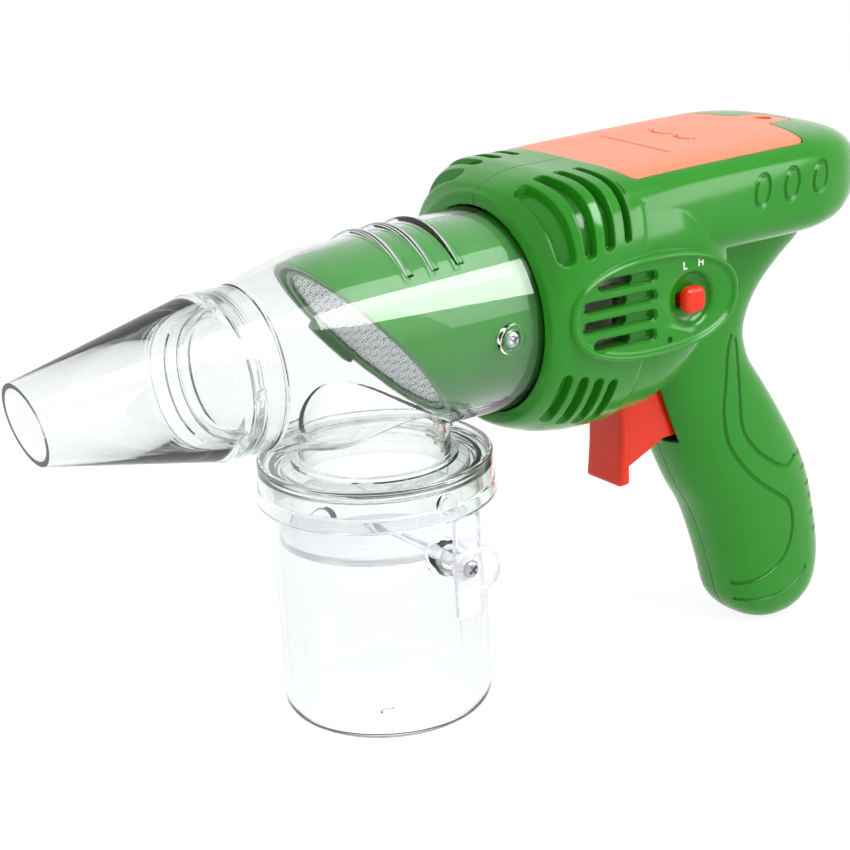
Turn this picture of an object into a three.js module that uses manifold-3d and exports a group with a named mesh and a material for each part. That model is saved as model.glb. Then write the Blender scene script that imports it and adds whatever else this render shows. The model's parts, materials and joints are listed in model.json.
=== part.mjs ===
// Toy bug vacuum: a barrel with a pistol grip, a clear nozzle and chamber, and a clear jar that hangs below.
// Lengths are in millimetres, angles in degrees. The muzzle points along -X, +Y is the right side, +Z is up.
// Jar pieces are drawn from the centre of the jar's base and barrel pieces from the barrel's axis above it.
// The whole is then tipped until the jar's front edge and the foot of the grip stand on one floor.

import * as THREE from 'three';
import { mergeVertices } from 'three/addons/utils/BufferGeometryUtils.js';
import Module from 'manifold-3d';

const wasm = await Module();
wasm.setup();

// Fits that all pieces share
const gap = 0.3;
const runningGap = 0.6;
const overrun = 4;
const far = 400;
const weldTolerance = 0.0001;
const sides = { large: 28, middle: 14, small: 8, skin: 20, lining: 16, corner: 3, slot: 2 };

// The barrel's axis above the base of the jar
const barrel = { height: 120 };

const hood = { frontX: 42, rearX: 79, halfWidth: 39.8, above: 34.3, below: 52.3, middle: 8, overlap: 6 };
const waist = { rearX: 122, step: 1.8, above: 33.3, below: 51.4, middle: 8 };
const box = { rearX: 190.2, step: 2.9, above: 16.9, below: 18, middle: 25 };
const grip = { topZ: 12, height: 149, frontX: 96, depth: 90, halfWidth: 17.2 };
const shell = { wall: 2.6, seam: 0.15 };

// Sections of the barrel's three bodies, front to rear, as shares of the sizes above:
// place, half width, middle, above, below, and how square the upper and the lower half are
const hoodShares = [
  [0, 0.935, 0, 1.085, 0.711, 2, 2],
  [0.08, 0.965, 0.15, 1.099, 0.763, 2.6, 2.03],
  [0.19, 0.985, 0.45, 1.079, 0.841, 3.2, 2.1],
  [0.325, 1, 0.75, 1.044, 0.918, 4, 2.2],
  [0.54, 0.997, 1, 1.003, 0.983, 5, 2.3],
  [0.8, 0.985, 1, 0.997, 0.998, 5, 2.3],
  [1, 0.975, 1, 0.997, 1, 5, 2.3],
];
const waistShares = [
  [0, 1, 1, 1, 1, 5, 2.3],
  [0.37, 0.992, 1, 0.961, 0.988, 5, 2.3],
  [0.54, 0.979, 1, 0.9, 0.938, 4.5, 2.3],
  [0.685, 0.953, 1, 0.84, 0.837, 4, 2.3],
  [0.81, 0.905, 1, 0.72, 0.671, 3.4, 2.2],
  [0.915, 0.826, 1, 0.54, 0.457, 2.8, 2.1],
  [1, 0.684, 1, 0.3, 0.233, 2.4, 2],
];
const boxShares = [
  [0, 1, 1, 0.98, 0.944, 5, 4],
  [0.22, 0.992, 1, 1, 0.967, 5, 4],
  [0.48, 0.981, 1, 1, 0.989, 5, 4],
  [0.7, 0.97, 1, 0.982, 1, 5, 4],
  [0.8, 0.916, 1, 0.947, 0.978, 4.4, 3.6],
  [0.877, 0.802, 1, 0.864, 0.911, 3.6, 3],
  [0.938, 0.64, 1, 0.722, 0.778, 3, 2.6],
  [0.978, 0.444, 1, 0.544, 0.578, 2.5, 2.3],
  [1, 0.217, 1, 0.32, 0.311, 2.1, 2.1],
];

// Levels of the grip from its top down, as shares: place, front, back, half width and squareness
const gripShares = [
  [0, 0, 0.933, 0.988, 2.6],
  [0.054, 0.022, 0.894, 0.988, 2.6],
  [0.148, 0.044, 0.678, 0.988, 2.6],
  [0.2, 0.056, 0.607, 0.977, 2.6],
  [0.262, 0.072, 0.571, 0.965, 2.6],
  [0.315, 0.094, 0.589, 0.965, 2.6],
  [0.396, 0.139, 0.673, 0.977, 2.6],
  [0.47, 0.189, 0.753, 0.988, 2.6],
  [0.617, 0.3, 0.889, 1, 2.6],
  [0.698, 0.378, 0.931, 0.988, 2.6],
  [0.86, 0.473, 0.969, 0.977, 2.6],
  [0.92, 0.5, 0.953, 0.953, 2.6],
  [0.96, 0.54, 0.911, 0.872, 2.5],
  [0.987, 0.596, 0.849, 0.698, 2.4],
  [1, 0.656, 0.778, 0.442, 2.2],
];

// The clear chamber: a tapered tube with a spigot for the nozzle in front and a round neck down to the jar
const chamber = {
  wall: 1.7, frontX: -44.5, frontRadius: 25, shoulderX: -20, shoulderRadius: 30.6, rearX: 50,
  rearRadius: 32.8, spigotLength: 10, inletRadius: 17.8, inletSetback: 4, inletWall: 1.8, flangeWidth: 2,
  flangeProud: 1.8,
  ribX: 1.5, ribPitch: 9, ribCount: 3, ribWidth: 1.8, ribProud: 1.3, ribRise: 46,
  bossX: 29.5, bossRadius: 4.7, bossProud: 1.8,
};
// Its drop is from the chamber's underside to the jar's rim
const neck = { radius: 23.6, wall: 1.8, drop: 8, flangeProud: 2.4, flangeWall: 1.6 };

const nozzle = {
  tipX: -114, tipRadius: 12.4, baseSetback: 14.7, baseRadius: 24.3, bandRadius: 25, wall: 1.6, cutTilt: 11,
  bandStep: 1.2, lugSetback: 8.3, lugRadius: 1.9, lugProud: 0.9,
};

// The green duct inside the chamber, cut off at a slant, with a shelf behind its mesh
const duct = {
  frontX: -37, wall: 1.8, rearProud: 2, mouthX: -3, slant: 50, bossRadius: 3.6, bossDepth: 8,
};
const net = {
  recess: 1.9, drop: 2.1, margin: 1.2, thickness: 0.7, pitch: 5, wire: 1.1, ringWidth: 1.9,
  ringThickness: 1, shelfWall: 1.8, shelfLip: 0.4,
};
// Half the mesh's length down the slant, as a share of half its width
const netLengthShare = 1.29;

const jar = {
  radius: 33, wall: 1.7, floor: 2.2, edgeRadius: 5, axleDrop: 20.2, axleRadius: 2.2,
  bossRadius: 6.2, bossEndRadius: 4.6, bossReach: 11.5, farBossReach: 3, farBossCap: 1.2,
};
const trapDoor = { clearance: 0.5, thickness: 2.4 };
const lever = {
  thickness: 2.2, halfLength: 16, halfWidth: 4.3, corner: 2, tabRadius: 6.9, tabForward: 4.4, tabDrop: 1.4,
  tabProud: 0.8,
};
const collar = {
  plate: 2.4, rimLip: 1.6, wall: 1.7, wallClearance: 1.7, flare: 1, skirtDrop: 7.4, skirtWall: 1.6,
  wallDrop: 9.2,
  lugDrop: 3.2, lugRadius: 3.3, lugDishRadius: 2.4, lugDishDepth: 0.8, lugProud: 1.1,
};
const pin = { radius: 0.9, x: 27.8, drop: 3.2, bossRadius: 2.4, bossDrop: 2.6 };

const screw = {
  headRadius: 2.6, headHeight: 1.6, shankRadius: 1.15, crossWidth: 0.9, crossDepth: 0.8, reach: 8,
};
const doorScrewReach = 3.8;
const headTaperShare = 0.8;
const crossArmShare = 0.6;

// Blind louvres round the shoulders of the hood and below them
const louvre = {
  width: 4.2, depth: 1.7, upperX: 48, upperPitch: 7.5, upperLowZ: 19.4, upperStep: 1.1, upperInnerY: 14,
  lowerX: 48.3, lowerPitch: 6.4, lowerTopZ: -14.8, lowerStep: 2, lowerInnerY: 22,
};
// The widths of the upper louvres, front to rear, as shares of the width above
const upperLouvreShares = [1.25, 1.05, 1, 0.7];

// The oval pad on either cheek, with four slots and, on the left, a dish for the speed knob
const panel = {
  centreX: 80.8, centreZ: 1, halfLength: 33.8, halfHeight: 16.4, square: 2.3, tilt: 2.4, proud: 0.6, root: 9,
  bevel: 1.2, slotHeight: 3.4, shallow: 1.4, dishRadius: 8.4, dishDepth: 2.2, holeRadius: 1.1,
};
// Front end and height of each slot, as shares of the pad's half sizes
const panelSlotShares = [[-0.686, 0.585], [-0.852, 0.207], [-0.858, -0.171], [-0.722, -0.549]];
const slotOpenShare = 0.66;
const dishShare = { along: 0.432, up: -0.049 };
const holeShare = { along: 0.154, up: -0.744 };

const knob = {
  halfLength: 4.3, halfHeight: 4.2, proud: 1.2, stemHalfLength: 2.6, stemHalfHeight: 2, travel: 2,
};
const speedSwitch = { halfLength: 7.5, halfHeight: 5.5, depth: 8, setback: 3 };

const door = {
  frontX: 78.6, rearX: 152, shoulderX: 158, tongueX: 170, halfWidth: 31.8, tongueHalfWidth: 8.4, corner: 3,
  thickness: 2.4, ledge: 1.6, ledgeLip: 1.2, railDrop: 2, railSetback: 4, screwSetback: 6, holeRadius: 3.1, cupWall: 1.2,
  cupDepth: 3, cupFloor: 1.4,
};
// Height of the skin over the door's screw, as a share of the box's height above its middle
const doorScrewRiseShare = 0.96;

const trigger = {
  frontX: 90.4, padDepth: 5, halfWidth: 8.8, topZ: -33, bottomZ: -72, webFrontZ: -64.2, webRearZ: -60,
  webRearX: 106.4, rearX: 121, pivotSetback: 6.5, pivotDrop: 4.5, pinRadius: 1.5, pinBoss: 3.6, swing: 6,
  corner: 1.6,
};
// Steps of the trigger's swing at which its room is cut
const sweepShares = [0, 0.5, 1];
const triggerSpring = { halfLength: 2.5, wire: 1, legHalfWidth: 0.6, leg: 12, seatWall: 2, room: 0.9 };
const triggerSwitch = {
  length: 11, halfHeight: 3.2, halfWidth: 3.2, z: -46, buttonHalf: 1.1, buttonProud: 0.9, pull: 1.2,
  cheek: 9,
};

const battery = {
  radius: 7.1, length: 49.2, capRadius: 2.6, capLength: 1.3, count: 4, pitch: 15, firstX: 93.6,
};
const contact = {
  thickness: 0.5, halfHeight: 4.6, halfLength: 5, springRadius: 3.4, springEndRadius: 2.2, spring: 2.6,
};
const tray = { floorZ: 15.6, topZ: 30, wall: 1.5, restLength: 9, restInnerY: 9, restOuterY: 21, restX: 132 };

const motor = { radius: 12, length: 30 };
const shaft = { radius: 1, inside: 9 };
const motorMount = {
  frontX: 79.6, wall: 2.4, cupWall: 2.1, cupLength: 12, ventRadius: 3.6, ventCount: 6, ventRing: 24,
  doorRoom: 3,
};
const fan = {
  rearSetback: 5.6, depth: 13, radius: 27, hubRadius: 5, hubDepth: 12, bladeCount: 7, bladeThickness: 1.4,
  backWall: 1.6,
};
// Radius of the hub's front and of the blades' roots, as shares of the hub's radius
const hubFrontShare = 0.8;
const bladeRootShare = 0.7;
const fanShroud = { length: 24.6, radius: 30.8, wall: 1.6, eyeRadius: 15, windowHalf: 8, windowSetback: 5 };

// Screw posts between the two shells
const post = { wall: 0.7, headSeat: 6 };
// Their places in the barrel, as shares of the box's rear and of the hood's height above its middle
const barrelPostShares = [[0.318, -1.085], [0.368, 1.05], [0.705, -0.262], [0.93, 0.64]];
// Their places in the grip, as shares of its depth and of its height from the top down
const gripPostShares = [[0.6, 0.497], [0.722, 0.88]];

const colour = {
  green: 0x2f9e2a, deepGreen: 0x268f26, orange: 0xff9a78, red: 0xe6401c, clear: 0xdcefe8, smoke: 0xe4e2ee,
  metal: 0xb9bcc0, dark: 0x2b2b2e, copper: 0xc58a4a, ivory: 0xe9e4d6, cell: 0x3c5a7a,
};

// Solid modelling helpers

function radians(degrees) {
  return THREE.MathUtils.degToRad(degrees);
}

function signedVolume(points, index) {
  const a = new THREE.Vector3();
  const b = new THREE.Vector3();
  const c = new THREE.Vector3();
  let sum = 0;
  for (let i = 0; i < index.length; i += 3) {
    a.fromArray(points, index[i] * 3);
    b.fromArray(points, index[i + 1] * 3);
    c.fromArray(points, index[i + 2] * 3);
    sum += a.dot(b.cross(c));
  }
  return sum;
}

// Drops the flat triangles that a turned outline leaves on its axis
function fullTriangles(index) {
  const kept = [];
  for (let i = 0; i < index.length; i += 3) {
    const [a, b, c] = [index[i], index[i + 1], index[i + 2]];
    if (a !== b && b !== c && c !== a) kept.push(a, b, c);
  }
  return new Uint32Array(kept);
}

function asSolid(shape) {
  if (!shape.isBufferGeometry) return shape;
  const bare = shape.clone();
  bare.deleteAttribute('normal');
  bare.deleteAttribute('uv');
  const merged = mergeVertices(bare, weldTolerance);
  const points = new Float32Array(merged.attributes.position.array);
  const index = fullTriangles(merged.index.array);
  if (signedVolume(points, index) < 0) index.reverse();
  return new wasm.Manifold(new wasm.Mesh({ numProp: 3, vertProperties: points, triVerts: index }));
}

function joined(...shapes) {
  return shapes.map(asSolid).reduce((all, one) => all.add(one));
}

function cut(body, ...tools) {
  return tools.map(asSolid).reduce((rest, tool) => rest.subtract(tool), asSolid(body));
}

function shared(first, second) {
  return asSolid(first).intersect(asSolid(second));
}

function geometryOf(shape) {
  const built = asSolid(shape).getMesh();
  const geometry = new THREE.BufferGeometry();
  geometry.setAttribute('position', new THREE.BufferAttribute(built.vertProperties, 3));
  geometry.setIndex(new THREE.BufferAttribute(built.triVerts, 1));
  geometry.computeVertexNormals();
  return geometry;
}

function block(x0, x1, y0, y1, z0, z1) {
  const size = new THREE.BoxGeometry(x1 - x0, y1 - y0, z1 - z0);
  return size.translate((x0 + x1) / 2, (y0 + y1) / 2, (z0 + z1) / 2);
}

// Round bars along each axis, from one place to another, with a radius at either end
function barX(x0, x1, r0, r1, y, z, count) {
  const bar = new THREE.CylinderGeometry(r1, r0, x1 - x0, count);
  return bar.rotateZ(-Math.PI / 2).translate((x0 + x1) / 2, y, z);
}

function barY(y0, y1, r0, r1, x, z, count) {
  return new THREE.CylinderGeometry(r1, r0, y1 - y0, count).translate(x, (y0 + y1) / 2, z);
}

function barZ(z0, z1, r0, r1, x, y, count) {
  const bar = new THREE.CylinderGeometry(r1, r0, z1 - z0, count);
  return bar.rotateX(Math.PI / 2).translate(x, y, (z0 + z1) / 2);
}

// An outline of places and radii that closes on itself, turned about an axis
function turned(outline) {
  const points = outline.map(([along, radius]) => new THREE.Vector2(radius, along));
  points.push(points[0].clone());
  return new THREE.LatheGeometry(points, sides.large, Math.PI / sides.large);
}

function turnedX(outline) {
  return turned(outline).rotateZ(-Math.PI / 2);
}

function turnedZ(outline) {
  return turned(outline).rotateX(Math.PI / 2);
}

function shapeOf(outline) {
  return new THREE.Shape(outline.map(([u, v]) => new THREE.Vector2(u, v)));
}

function extruded(shape, depth) {
  return new THREE.ExtrudeGeometry(shape, { depth, bevelEnabled: false });
}

// Prisms: an outline of X and Z drawn out along Y, and one of X and Y drawn out along Z
function prismY(outline, y0, y1) {
  return extruded(shapeOf(outline), y1 - y0).rotateX(Math.PI / 2).translate(0, y1, 0);
}

function prismZ(outline, z0, z1) {
  return extruded(shapeOf(outline), z1 - z0).translate(0, 0, z0);
}

function middleOf(ring) {
  const sum = ring.reduce((all, point) => all.map((value, i) => value + point[i]), [0, 0, 0]);
  return sum.map((value) => value / ring.length);
}

// Rings with equal numbers of points become one closed body, with a fan over either end
function lofted(rings) {
  const count = rings[0].length;
  const last = rings.length - 1;
  const corners = [...rings.flat(), middleOf(rings[0]), middleOf(rings[last])];
  const index = [];
  for (let side = 0; side < count; side += 1) {
    const next = (side + 1) % count;
    for (let ring = 0; ring < last; ring += 1) {
      const a = ring * count + side;
      const b = ring * count + next;
      index.push(a, b, b + count, a, b + count, a + count);
    }
    index.push(corners.length - 2, next, side);
    index.push(corners.length - 1, last * count + side, last * count + next);
  }
  const geometry = new THREE.BufferGeometry();
  geometry.setAttribute('position', new THREE.Float32BufferAttribute(corners.flat(), 3));
  geometry.setIndex(index);
  return geometry;
}

// A point of a squared oval with half sizes of 1
function ovalPoint(angle, square) {
  const reach = (value) => Math.sign(value) * Math.abs(value) ** (2 / square);
  return [reach(Math.cos(angle)), reach(Math.sin(angle))];
}

function ovalOutline(halfLength, halfHeight, square, count) {
  return Array.from({ length: count }, (none, i) => {
    const [u, v] = ovalPoint((i / count) * Math.PI * 2, square);
    return [u * halfLength, v * halfHeight];
  });
}

// An outline of a bar with half-round ends, lying along its first axis
function slotOutline(from, to, height) {
  const radius = height / 2;
  const ends = [[to - radius, -Math.PI / 2], [from + radius, Math.PI / 2]];
  return ends.flatMap(([centre, start]) => Array.from({ length: sides.slot + 1 }, (none, i) => {
    const angle = start + (i / sides.slot) * Math.PI;
    return [centre + radius * Math.cos(angle), radius * Math.sin(angle)];
  }));
}

// Body of the barrel and grip

// One section across the barrel, drawn in from the outer skin by an inset
function barrelRing(form, share, inset, count) {
  const [along, width, middle, above, below, squareAbove, squareBelow] = share;
  const x = form.frontX + along * (form.rearX - form.frontX) - inset * (1 - width);
  return Array.from({ length: count }, (none, i) => {
    const angle = (i / count) * Math.PI * 2;
    const upper = Math.sin(angle) >= 0;
    const [u, v] = ovalPoint(angle, upper ? squareAbove : squareBelow);
    const reach = (upper ? form.above * above : form.below * below) - inset;
    return [x, u * (form.halfWidth * width - inset), form.middle * middle + v * reach];
  });
}

function gripRing(share, inset, count) {
  const [level, front, back, width, square] = share;
  const x0 = grip.frontX + grip.depth * front + inset;
  const x1 = grip.frontX + grip.depth * back - inset;
  const z = grip.topZ - grip.height * level + inset * (1 - width);
  const outline = ovalOutline((x1 - x0) / 2, grip.halfWidth * width - inset, square, count);
  return outline.map(([u, v]) => [(x0 + x1) / 2 + u, v, z]);
}

function waistForm() {
  return { ...waist, frontX: hood.rearX - hood.overlap, halfWidth: hood.halfWidth - waist.step };
}

function boxForm() {
  return { ...box, frontX: hood.rearX - hood.overlap, halfWidth: hood.halfWidth - box.step };
}

function barrelLoft(form, shares, inset, count) {
  return lofted(shares.map((share) => barrelRing(form, share, inset, count)));
}

function hoodLoft(inset, count) {
  return barrelLoft(hood, hoodShares, inset, count);
}

function rearLoft(inset, count) {
  const waistBody = barrelLoft(waistForm(), waistShares, inset, count);
  const boxBody = barrelLoft(boxForm(), boxShares, inset, count);
  return joined(waistBody, boxBody);
}

function bodyLoft(inset, count) {
  const gripBody = lofted(gripShares.map((share) => gripRing(share, inset, count)));
  return joined(hoodLoft(inset, count), rearLoft(inset, count), gripBody);
}

function retainerRearX() {
  return chamber.rearX - chamber.flangeWidth - gap;
}

function chamberBore() {
  const radius = chamber.rearRadius + gap;
  const x0 = hood.frontX - overrun;
  const x1 = retainerRearX() + overrun;
  return turnedX([[x0, 0], [x0, radius], [x1, radius], [x1, 0]]);
}

function retainerSlice() {
  return block(hood.frontX, retainerRearX(), -far, far, -far, far);
}

function bothSides(x0, x1, innerY, z0, z1) {
  return [block(x0, x1, -far, -innerY, z0, z1), block(x0, x1, innerY, far, z0, z1)];
}

function upperLouvres() {
  return upperLouvreShares.flatMap((share, i) => {
    const x = louvre.upperX + i * louvre.upperPitch;
    const half = louvre.width * share / 2;
    const low = louvre.upperLowZ + i * louvre.upperStep;
    return bothSides(x - half, x + half, louvre.upperInnerY, low, far);
  });
}

function lowerLouvres() {
  const half = louvre.width / 2;
  return upperLouvreShares.flatMap((none, i) => {
    const x = louvre.lowerX + i * louvre.lowerPitch;
    const top = louvre.lowerTopZ - i * louvre.lowerStep;
    return bothSides(x - half, x + half, louvre.lowerInnerY, -far, top);
  });
}

function louvreTool() {
  return cut(joined(...upperLouvres(), ...lowerLouvres()), hoodLoft(louvre.depth, sides.skin));
}

// The oval pads

function panelFace() {
  return hood.halfWidth + panel.proud;
}

function onPanel(geometry) {
  return geometry.rotateY(radians(panel.tilt)).translate(panel.centreX, 0, panel.centreZ);
}

function panelPad(side) {
  const ring = (y, inset) => {
    const { halfLength, halfHeight, square } = panel;
    const outline = ovalOutline(halfLength - inset, halfHeight - inset, square, sides.skin);
    return outline.map(([u, v]) => [u, y * side, v]);
  };
  const face = panelFace();
  return onPanel(lofted([ring(face - panel.root, 0), ring(face - panel.bevel, 0), ring(face, panel.bevel)]));
}

function panelSlots(side) {
  const face = panelFace();
  const tools = panelSlotShares.map(([along, up]) => {
    const from = panel.halfLength * along;
    const open = slotOutline(from, from * (1 - slotOpenShare), panel.slotHeight);
    const whole = slotOutline(from, 0, panel.slotHeight);
    const rise = panel.halfHeight * up;
    const through = prismY(open, -face - overrun, -face + panel.root).translate(0, 0, rise);
    const shallow = prismY(whole, -face - overrun, -face + panel.shallow).translate(0, 0, rise);
    return joined(onPanel(through), onPanel(shallow));
  });
  const tool = joined(...tools);
  return side < 0 ? tool : tool.mirror([0, 1, 0]);
}

function dishCentre() {
  const x = panel.centreX + panel.halfLength * dishShare.along;
  const z = panel.centreZ + panel.halfHeight * dishShare.up;
  return { x, z };
}

function dishTool() {
  const face = panelFace();
  const { x, z } = dishCentre();
  const { dishDepth, dishRadius } = panel;
  const dish = barY(-face - overrun, -face + dishDepth, dishRadius, dishRadius, x, z, sides.middle);
  const reach = knob.stemHalfLength + knob.travel + gap;
  const halfHeight = knob.stemHalfHeight + gap;
  const slot = block(x - reach, x + reach, -face, -face + panel.root, z - halfHeight, z + halfHeight);
  const holeX = panel.centreX + panel.halfLength * holeShare.along;
  const holeZ = panel.centreZ + panel.halfHeight * holeShare.up;
  const radius = panel.holeRadius;
  const hole = barY(-face - overrun, -face + panel.shallow, radius, radius, holeX, holeZ, sides.small);
  return joined(dish, slot, hole);
}

// The battery door and the opening it closes

// The door seen from above, drawn larger by a margin
function doorOutline(margin) {
  const { corner } = door;
  const x0 = door.frontX - margin;
  const x1 = door.rearX + margin;
  const tip = door.tongueX + margin;
  const wide = door.halfWidth + margin;
  const narrow = door.tongueHalfWidth + margin;
  const half = [
    [x0, wide], [x1 - corner, wide], [x1, wide - corner], [door.shoulderX + margin, narrow],
    [tip - corner, narrow], [tip, narrow - corner],
  ];
  return [...half, ...half.map(([x, y]) => [x, -y]).reverse()];
}

function doorPrism(margin) {
  return prismZ(doorOutline(margin), box.middle, far);
}

// Two rails under the long edges carry the door
function doorRails() {
  const top = doorEdgeZ() - door.thickness - door.railDrop;
  const x0 = door.frontX + door.railSetback;
  const x1 = door.rearX - door.corner;
  const inner = door.halfWidth - door.ledgeLip;
  const outer = door.halfWidth + door.ledge;
  return joined(
    block(x0, x1, -outer, -inner, top - door.ledge, top), block(x0, x1, inner, outer, top - door.ledge, top),
  );
}

// Height of the skin along the door's long edges
function doorEdgeZ() {
  const { halfWidth, above, middle } = boxForm();
  const square = boxShares[0][5];
  return middle + above * (1 - (door.halfWidth / halfWidth) ** square) ** (1 / square);
}

function doorScrewPlace() {
  const top = box.middle + box.above * doorScrewRiseShare;
  const cupZ = top - door.thickness - door.cupDepth;
  return { x: door.tongueX - door.screwSetback, top, cupZ, seatZ: cupZ + door.cupFloor };
}

function batteryDoor() {
  const skin = cut(rearLoft(0, sides.skin), rearLoft(door.thickness, sides.skin));
  const { x, top, cupZ, seatZ } = doorScrewPlace();
  const cupRadius = door.holeRadius + door.cupWall;
  const cup = shared(barZ(cupZ, far, cupRadius, cupRadius, x, 0, sides.middle), rearLoft(gap, sides.skin));
  const bore = barZ(seatZ, top + overrun, door.holeRadius, door.holeRadius, x, 0, sides.middle);
  const holeRadius = screw.shankRadius + gap;
  const hole = barZ(cupZ - overrun, top, holeRadius, holeRadius, x, 0, sides.small);
  return cut(joined(shared(skin, doorPrism(-gap)), cup), bore, hole);
}

// A post on a web from the left side wall takes the door's screw
function doorPost(margin) {
  const { x, cupZ } = doorScrewPlace();
  const radius = door.holeRadius + margin;
  const top = cupZ - gap + margin;
  const low = cupZ - screw.reach - margin;
  const half = door.ledge / 2 + margin;
  const web = block(x - half, x + half, -far, 0, low, top);
  const column = barZ(low, top, radius, radius, x, 0, sides.middle);
  return joined(column, shared(web, bodyLoft(shell.wall / 2, sides.lining)));
}

function doorPostHole() {
  const { x, cupZ } = doorScrewPlace();
  const radius = screw.shankRadius + gap;
  return barZ(cupZ - screw.reach, cupZ, radius, radius, x, 0, sides.small);
}

// The trigger and what it works on

function triggerOutline(margin) {
  const front = trigger.frontX - margin;
  const back = trigger.rearX + margin;
  const padBack = trigger.frontX + trigger.padDepth + margin;
  const { corner } = trigger;
  return [
    [front, trigger.topZ + margin], [front, trigger.bottomZ + corner - margin],
    [front + corner, trigger.bottomZ - margin], [padBack - corner, trigger.bottomZ - margin],
    [padBack, trigger.bottomZ + corner - margin], [padBack, trigger.webFrontZ - margin],
    [trigger.webRearX, trigger.webRearZ - margin], [back, trigger.webRearZ - margin],
    [back, trigger.topZ + margin],
  ];
}

function pivot() {
  return { x: trigger.rearX - trigger.pivotSetback, z: trigger.topZ - trigger.pivotDrop };
}

// The space that the trigger sweeps between rest and full pull
function triggerSweep() {
  const { x, z } = pivot();
  const wide = trigger.halfWidth + runningGap;
  return joined(...sweepShares.map((share) => {
    const body = prismY(triggerOutline(runningGap), -wide, wide).translate(-x, 0, -z);
    return body.rotateY(-radians(trigger.swing * share)).translate(x, 0, z);
  }));
}

function triggerBody() {
  const { x, z } = pivot();
  const radius = trigger.pinRadius + gap;
  const hole = barY(-far, far, radius, radius, x, z, sides.middle);
  return cut(prismY(triggerOutline(0), -trigger.halfWidth, trigger.halfWidth), hole, springRoom());
}

function pinHalfLength() {
  return grip.halfWidth - shell.wall;
}

function pinBosses() {
  const { x, z } = pivot();
  const inner = trigger.halfWidth + runningGap;
  const outer = grip.halfWidth - shell.wall / 2;
  const near = barY(-outer, -inner, trigger.pinBoss, trigger.pinBoss, x, z, sides.middle);
  const farSide = barY(inner, outer, trigger.pinBoss, trigger.pinBoss, x, z, sides.middle);
  return joined(near, farSide);
}

function pinHole() {
  const { x, z } = pivot();
  const radius = trigger.pinRadius + gap;
  const reach = pinHalfLength() + gap;
  return barY(-reach, reach, radius, radius, x, z, sides.middle);
}

function springRadius() {
  return trigger.pinRadius + gap + triggerSpring.wire;
}

function springSeatX() {
  return pivot().x + triggerSpring.leg + gap;
}

// A coil round the trigger's pin, with a leg that rests against a rib in the grip
function triggerSpringBody() {
  const { x, z } = pivot();
  const { halfLength, wire, legHalfWidth } = triggerSpring;
  const outer = springRadius();
  const inner = trigger.pinRadius + gap;
  const coil = barY(-halfLength, halfLength, outer, outer, x, z, sides.middle);
  const leg = block(x, springSeatX() - gap, -legHalfWidth, legHalfWidth, z + outer - wire, z + outer);
  return cut(joined(coil, leg), barY(-far, far, inner, inner, x, z, sides.middle));
}

// Room for the coil and its leg in the trigger
function springRoom() {
  const { x, z } = pivot();
  const { halfLength, room } = triggerSpring;
  const reach = springRadius() + room;
  const wide = halfLength + room;
  return block(x - reach, far, -wide, wide, z - reach, far);
}

// A rib across the grip stops the spring's leg, and two cheeks hold the switch between the shells
function triggerRibs() {
  const half = grip.halfWidth - shell.wall / 2;
  const { seatWall } = triggerSpring;
  const x0 = springSeatX();
  const reach = springRadius();
  const rib = block(x0, x0 + seatWall, -half, half, pivot().z - reach, pivot().z + reach);
  const inner = triggerSwitch.halfWidth + gap;
  const from = triggerSwitchX() + triggerSwitch.length - triggerSwitch.cheek;
  const low = triggerSwitch.z - triggerSwitch.halfHeight;
  const high = triggerSwitch.z + triggerSwitch.halfHeight;
  const near = block(from, from + triggerSwitch.cheek, -half, -inner, low, high);
  const farSide = block(from, from + triggerSwitch.cheek, inner, half, low, high);
  return joined(rib, near, farSide);
}

function triggerSwitchX() {
  return trigger.rearX + triggerSwitch.pull + gap + triggerSwitch.buttonProud;
}

function triggerSwitchBody() {
  const x = triggerSwitchX();
  const { halfWidth, halfHeight, buttonHalf, buttonProud, length, z } = triggerSwitch;
  const body = block(x, x + length, -halfWidth, halfWidth, z - halfHeight, z + halfHeight);
  const low = z - buttonHalf;
  const button = block(x - buttonProud, x + buttonProud, -buttonHalf, buttonHalf, low, z + buttonHalf);
  return joined(body, button);
}

// The two shells

function postPlaces() {
  const inBarrel = barrelPostShares.map(([along, up]) => ({ x: box.rearX * along, z: hood.above * up }));
  const inGrip = gripPostShares.map(([along, down]) => {
    return { x: grip.frontX + grip.depth * along, z: grip.topZ - grip.height * down };
  });
  return [...inBarrel, ...inGrip];
}

function postRadius() {
  return screw.headRadius + gap + post.wall;
}

function screwPosts() {
  const radius = postRadius();
  return postPlaces().map(({ x, z }) => barY(-far, far, radius, radius, x, z, sides.small));
}

function leftPostHoles() {
  const radius = screw.shankRadius + gap;
  return postPlaces().map(({ x, z }) => barY(-screw.reach, overrun, radius, radius, x, z, sides.small));
}

function rightPostHoles() {
  const shank = screw.shankRadius + gap;
  const head = screw.headRadius + gap;
  return postPlaces().map(({ x, z }) => joined(
    barY(-overrun, post.headSeat + overrun, shank, shank, x, z, sides.small),
    barY(post.headSeat, far, head, head, x, z, sides.small),
  ));
}

function trayRests() {
  const low = box.middle - box.below + shell.wall / 2;
  const { restX, restLength, restInnerY, restOuterY } = tray;
  const top = tray.floorZ - gap;
  return joined(
    block(restX, restX + restLength, -restOuterY, -restInnerY, low, top),
    block(restX, restX + restLength, restInnerY, restOuterY, low, top),
  );
}

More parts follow.
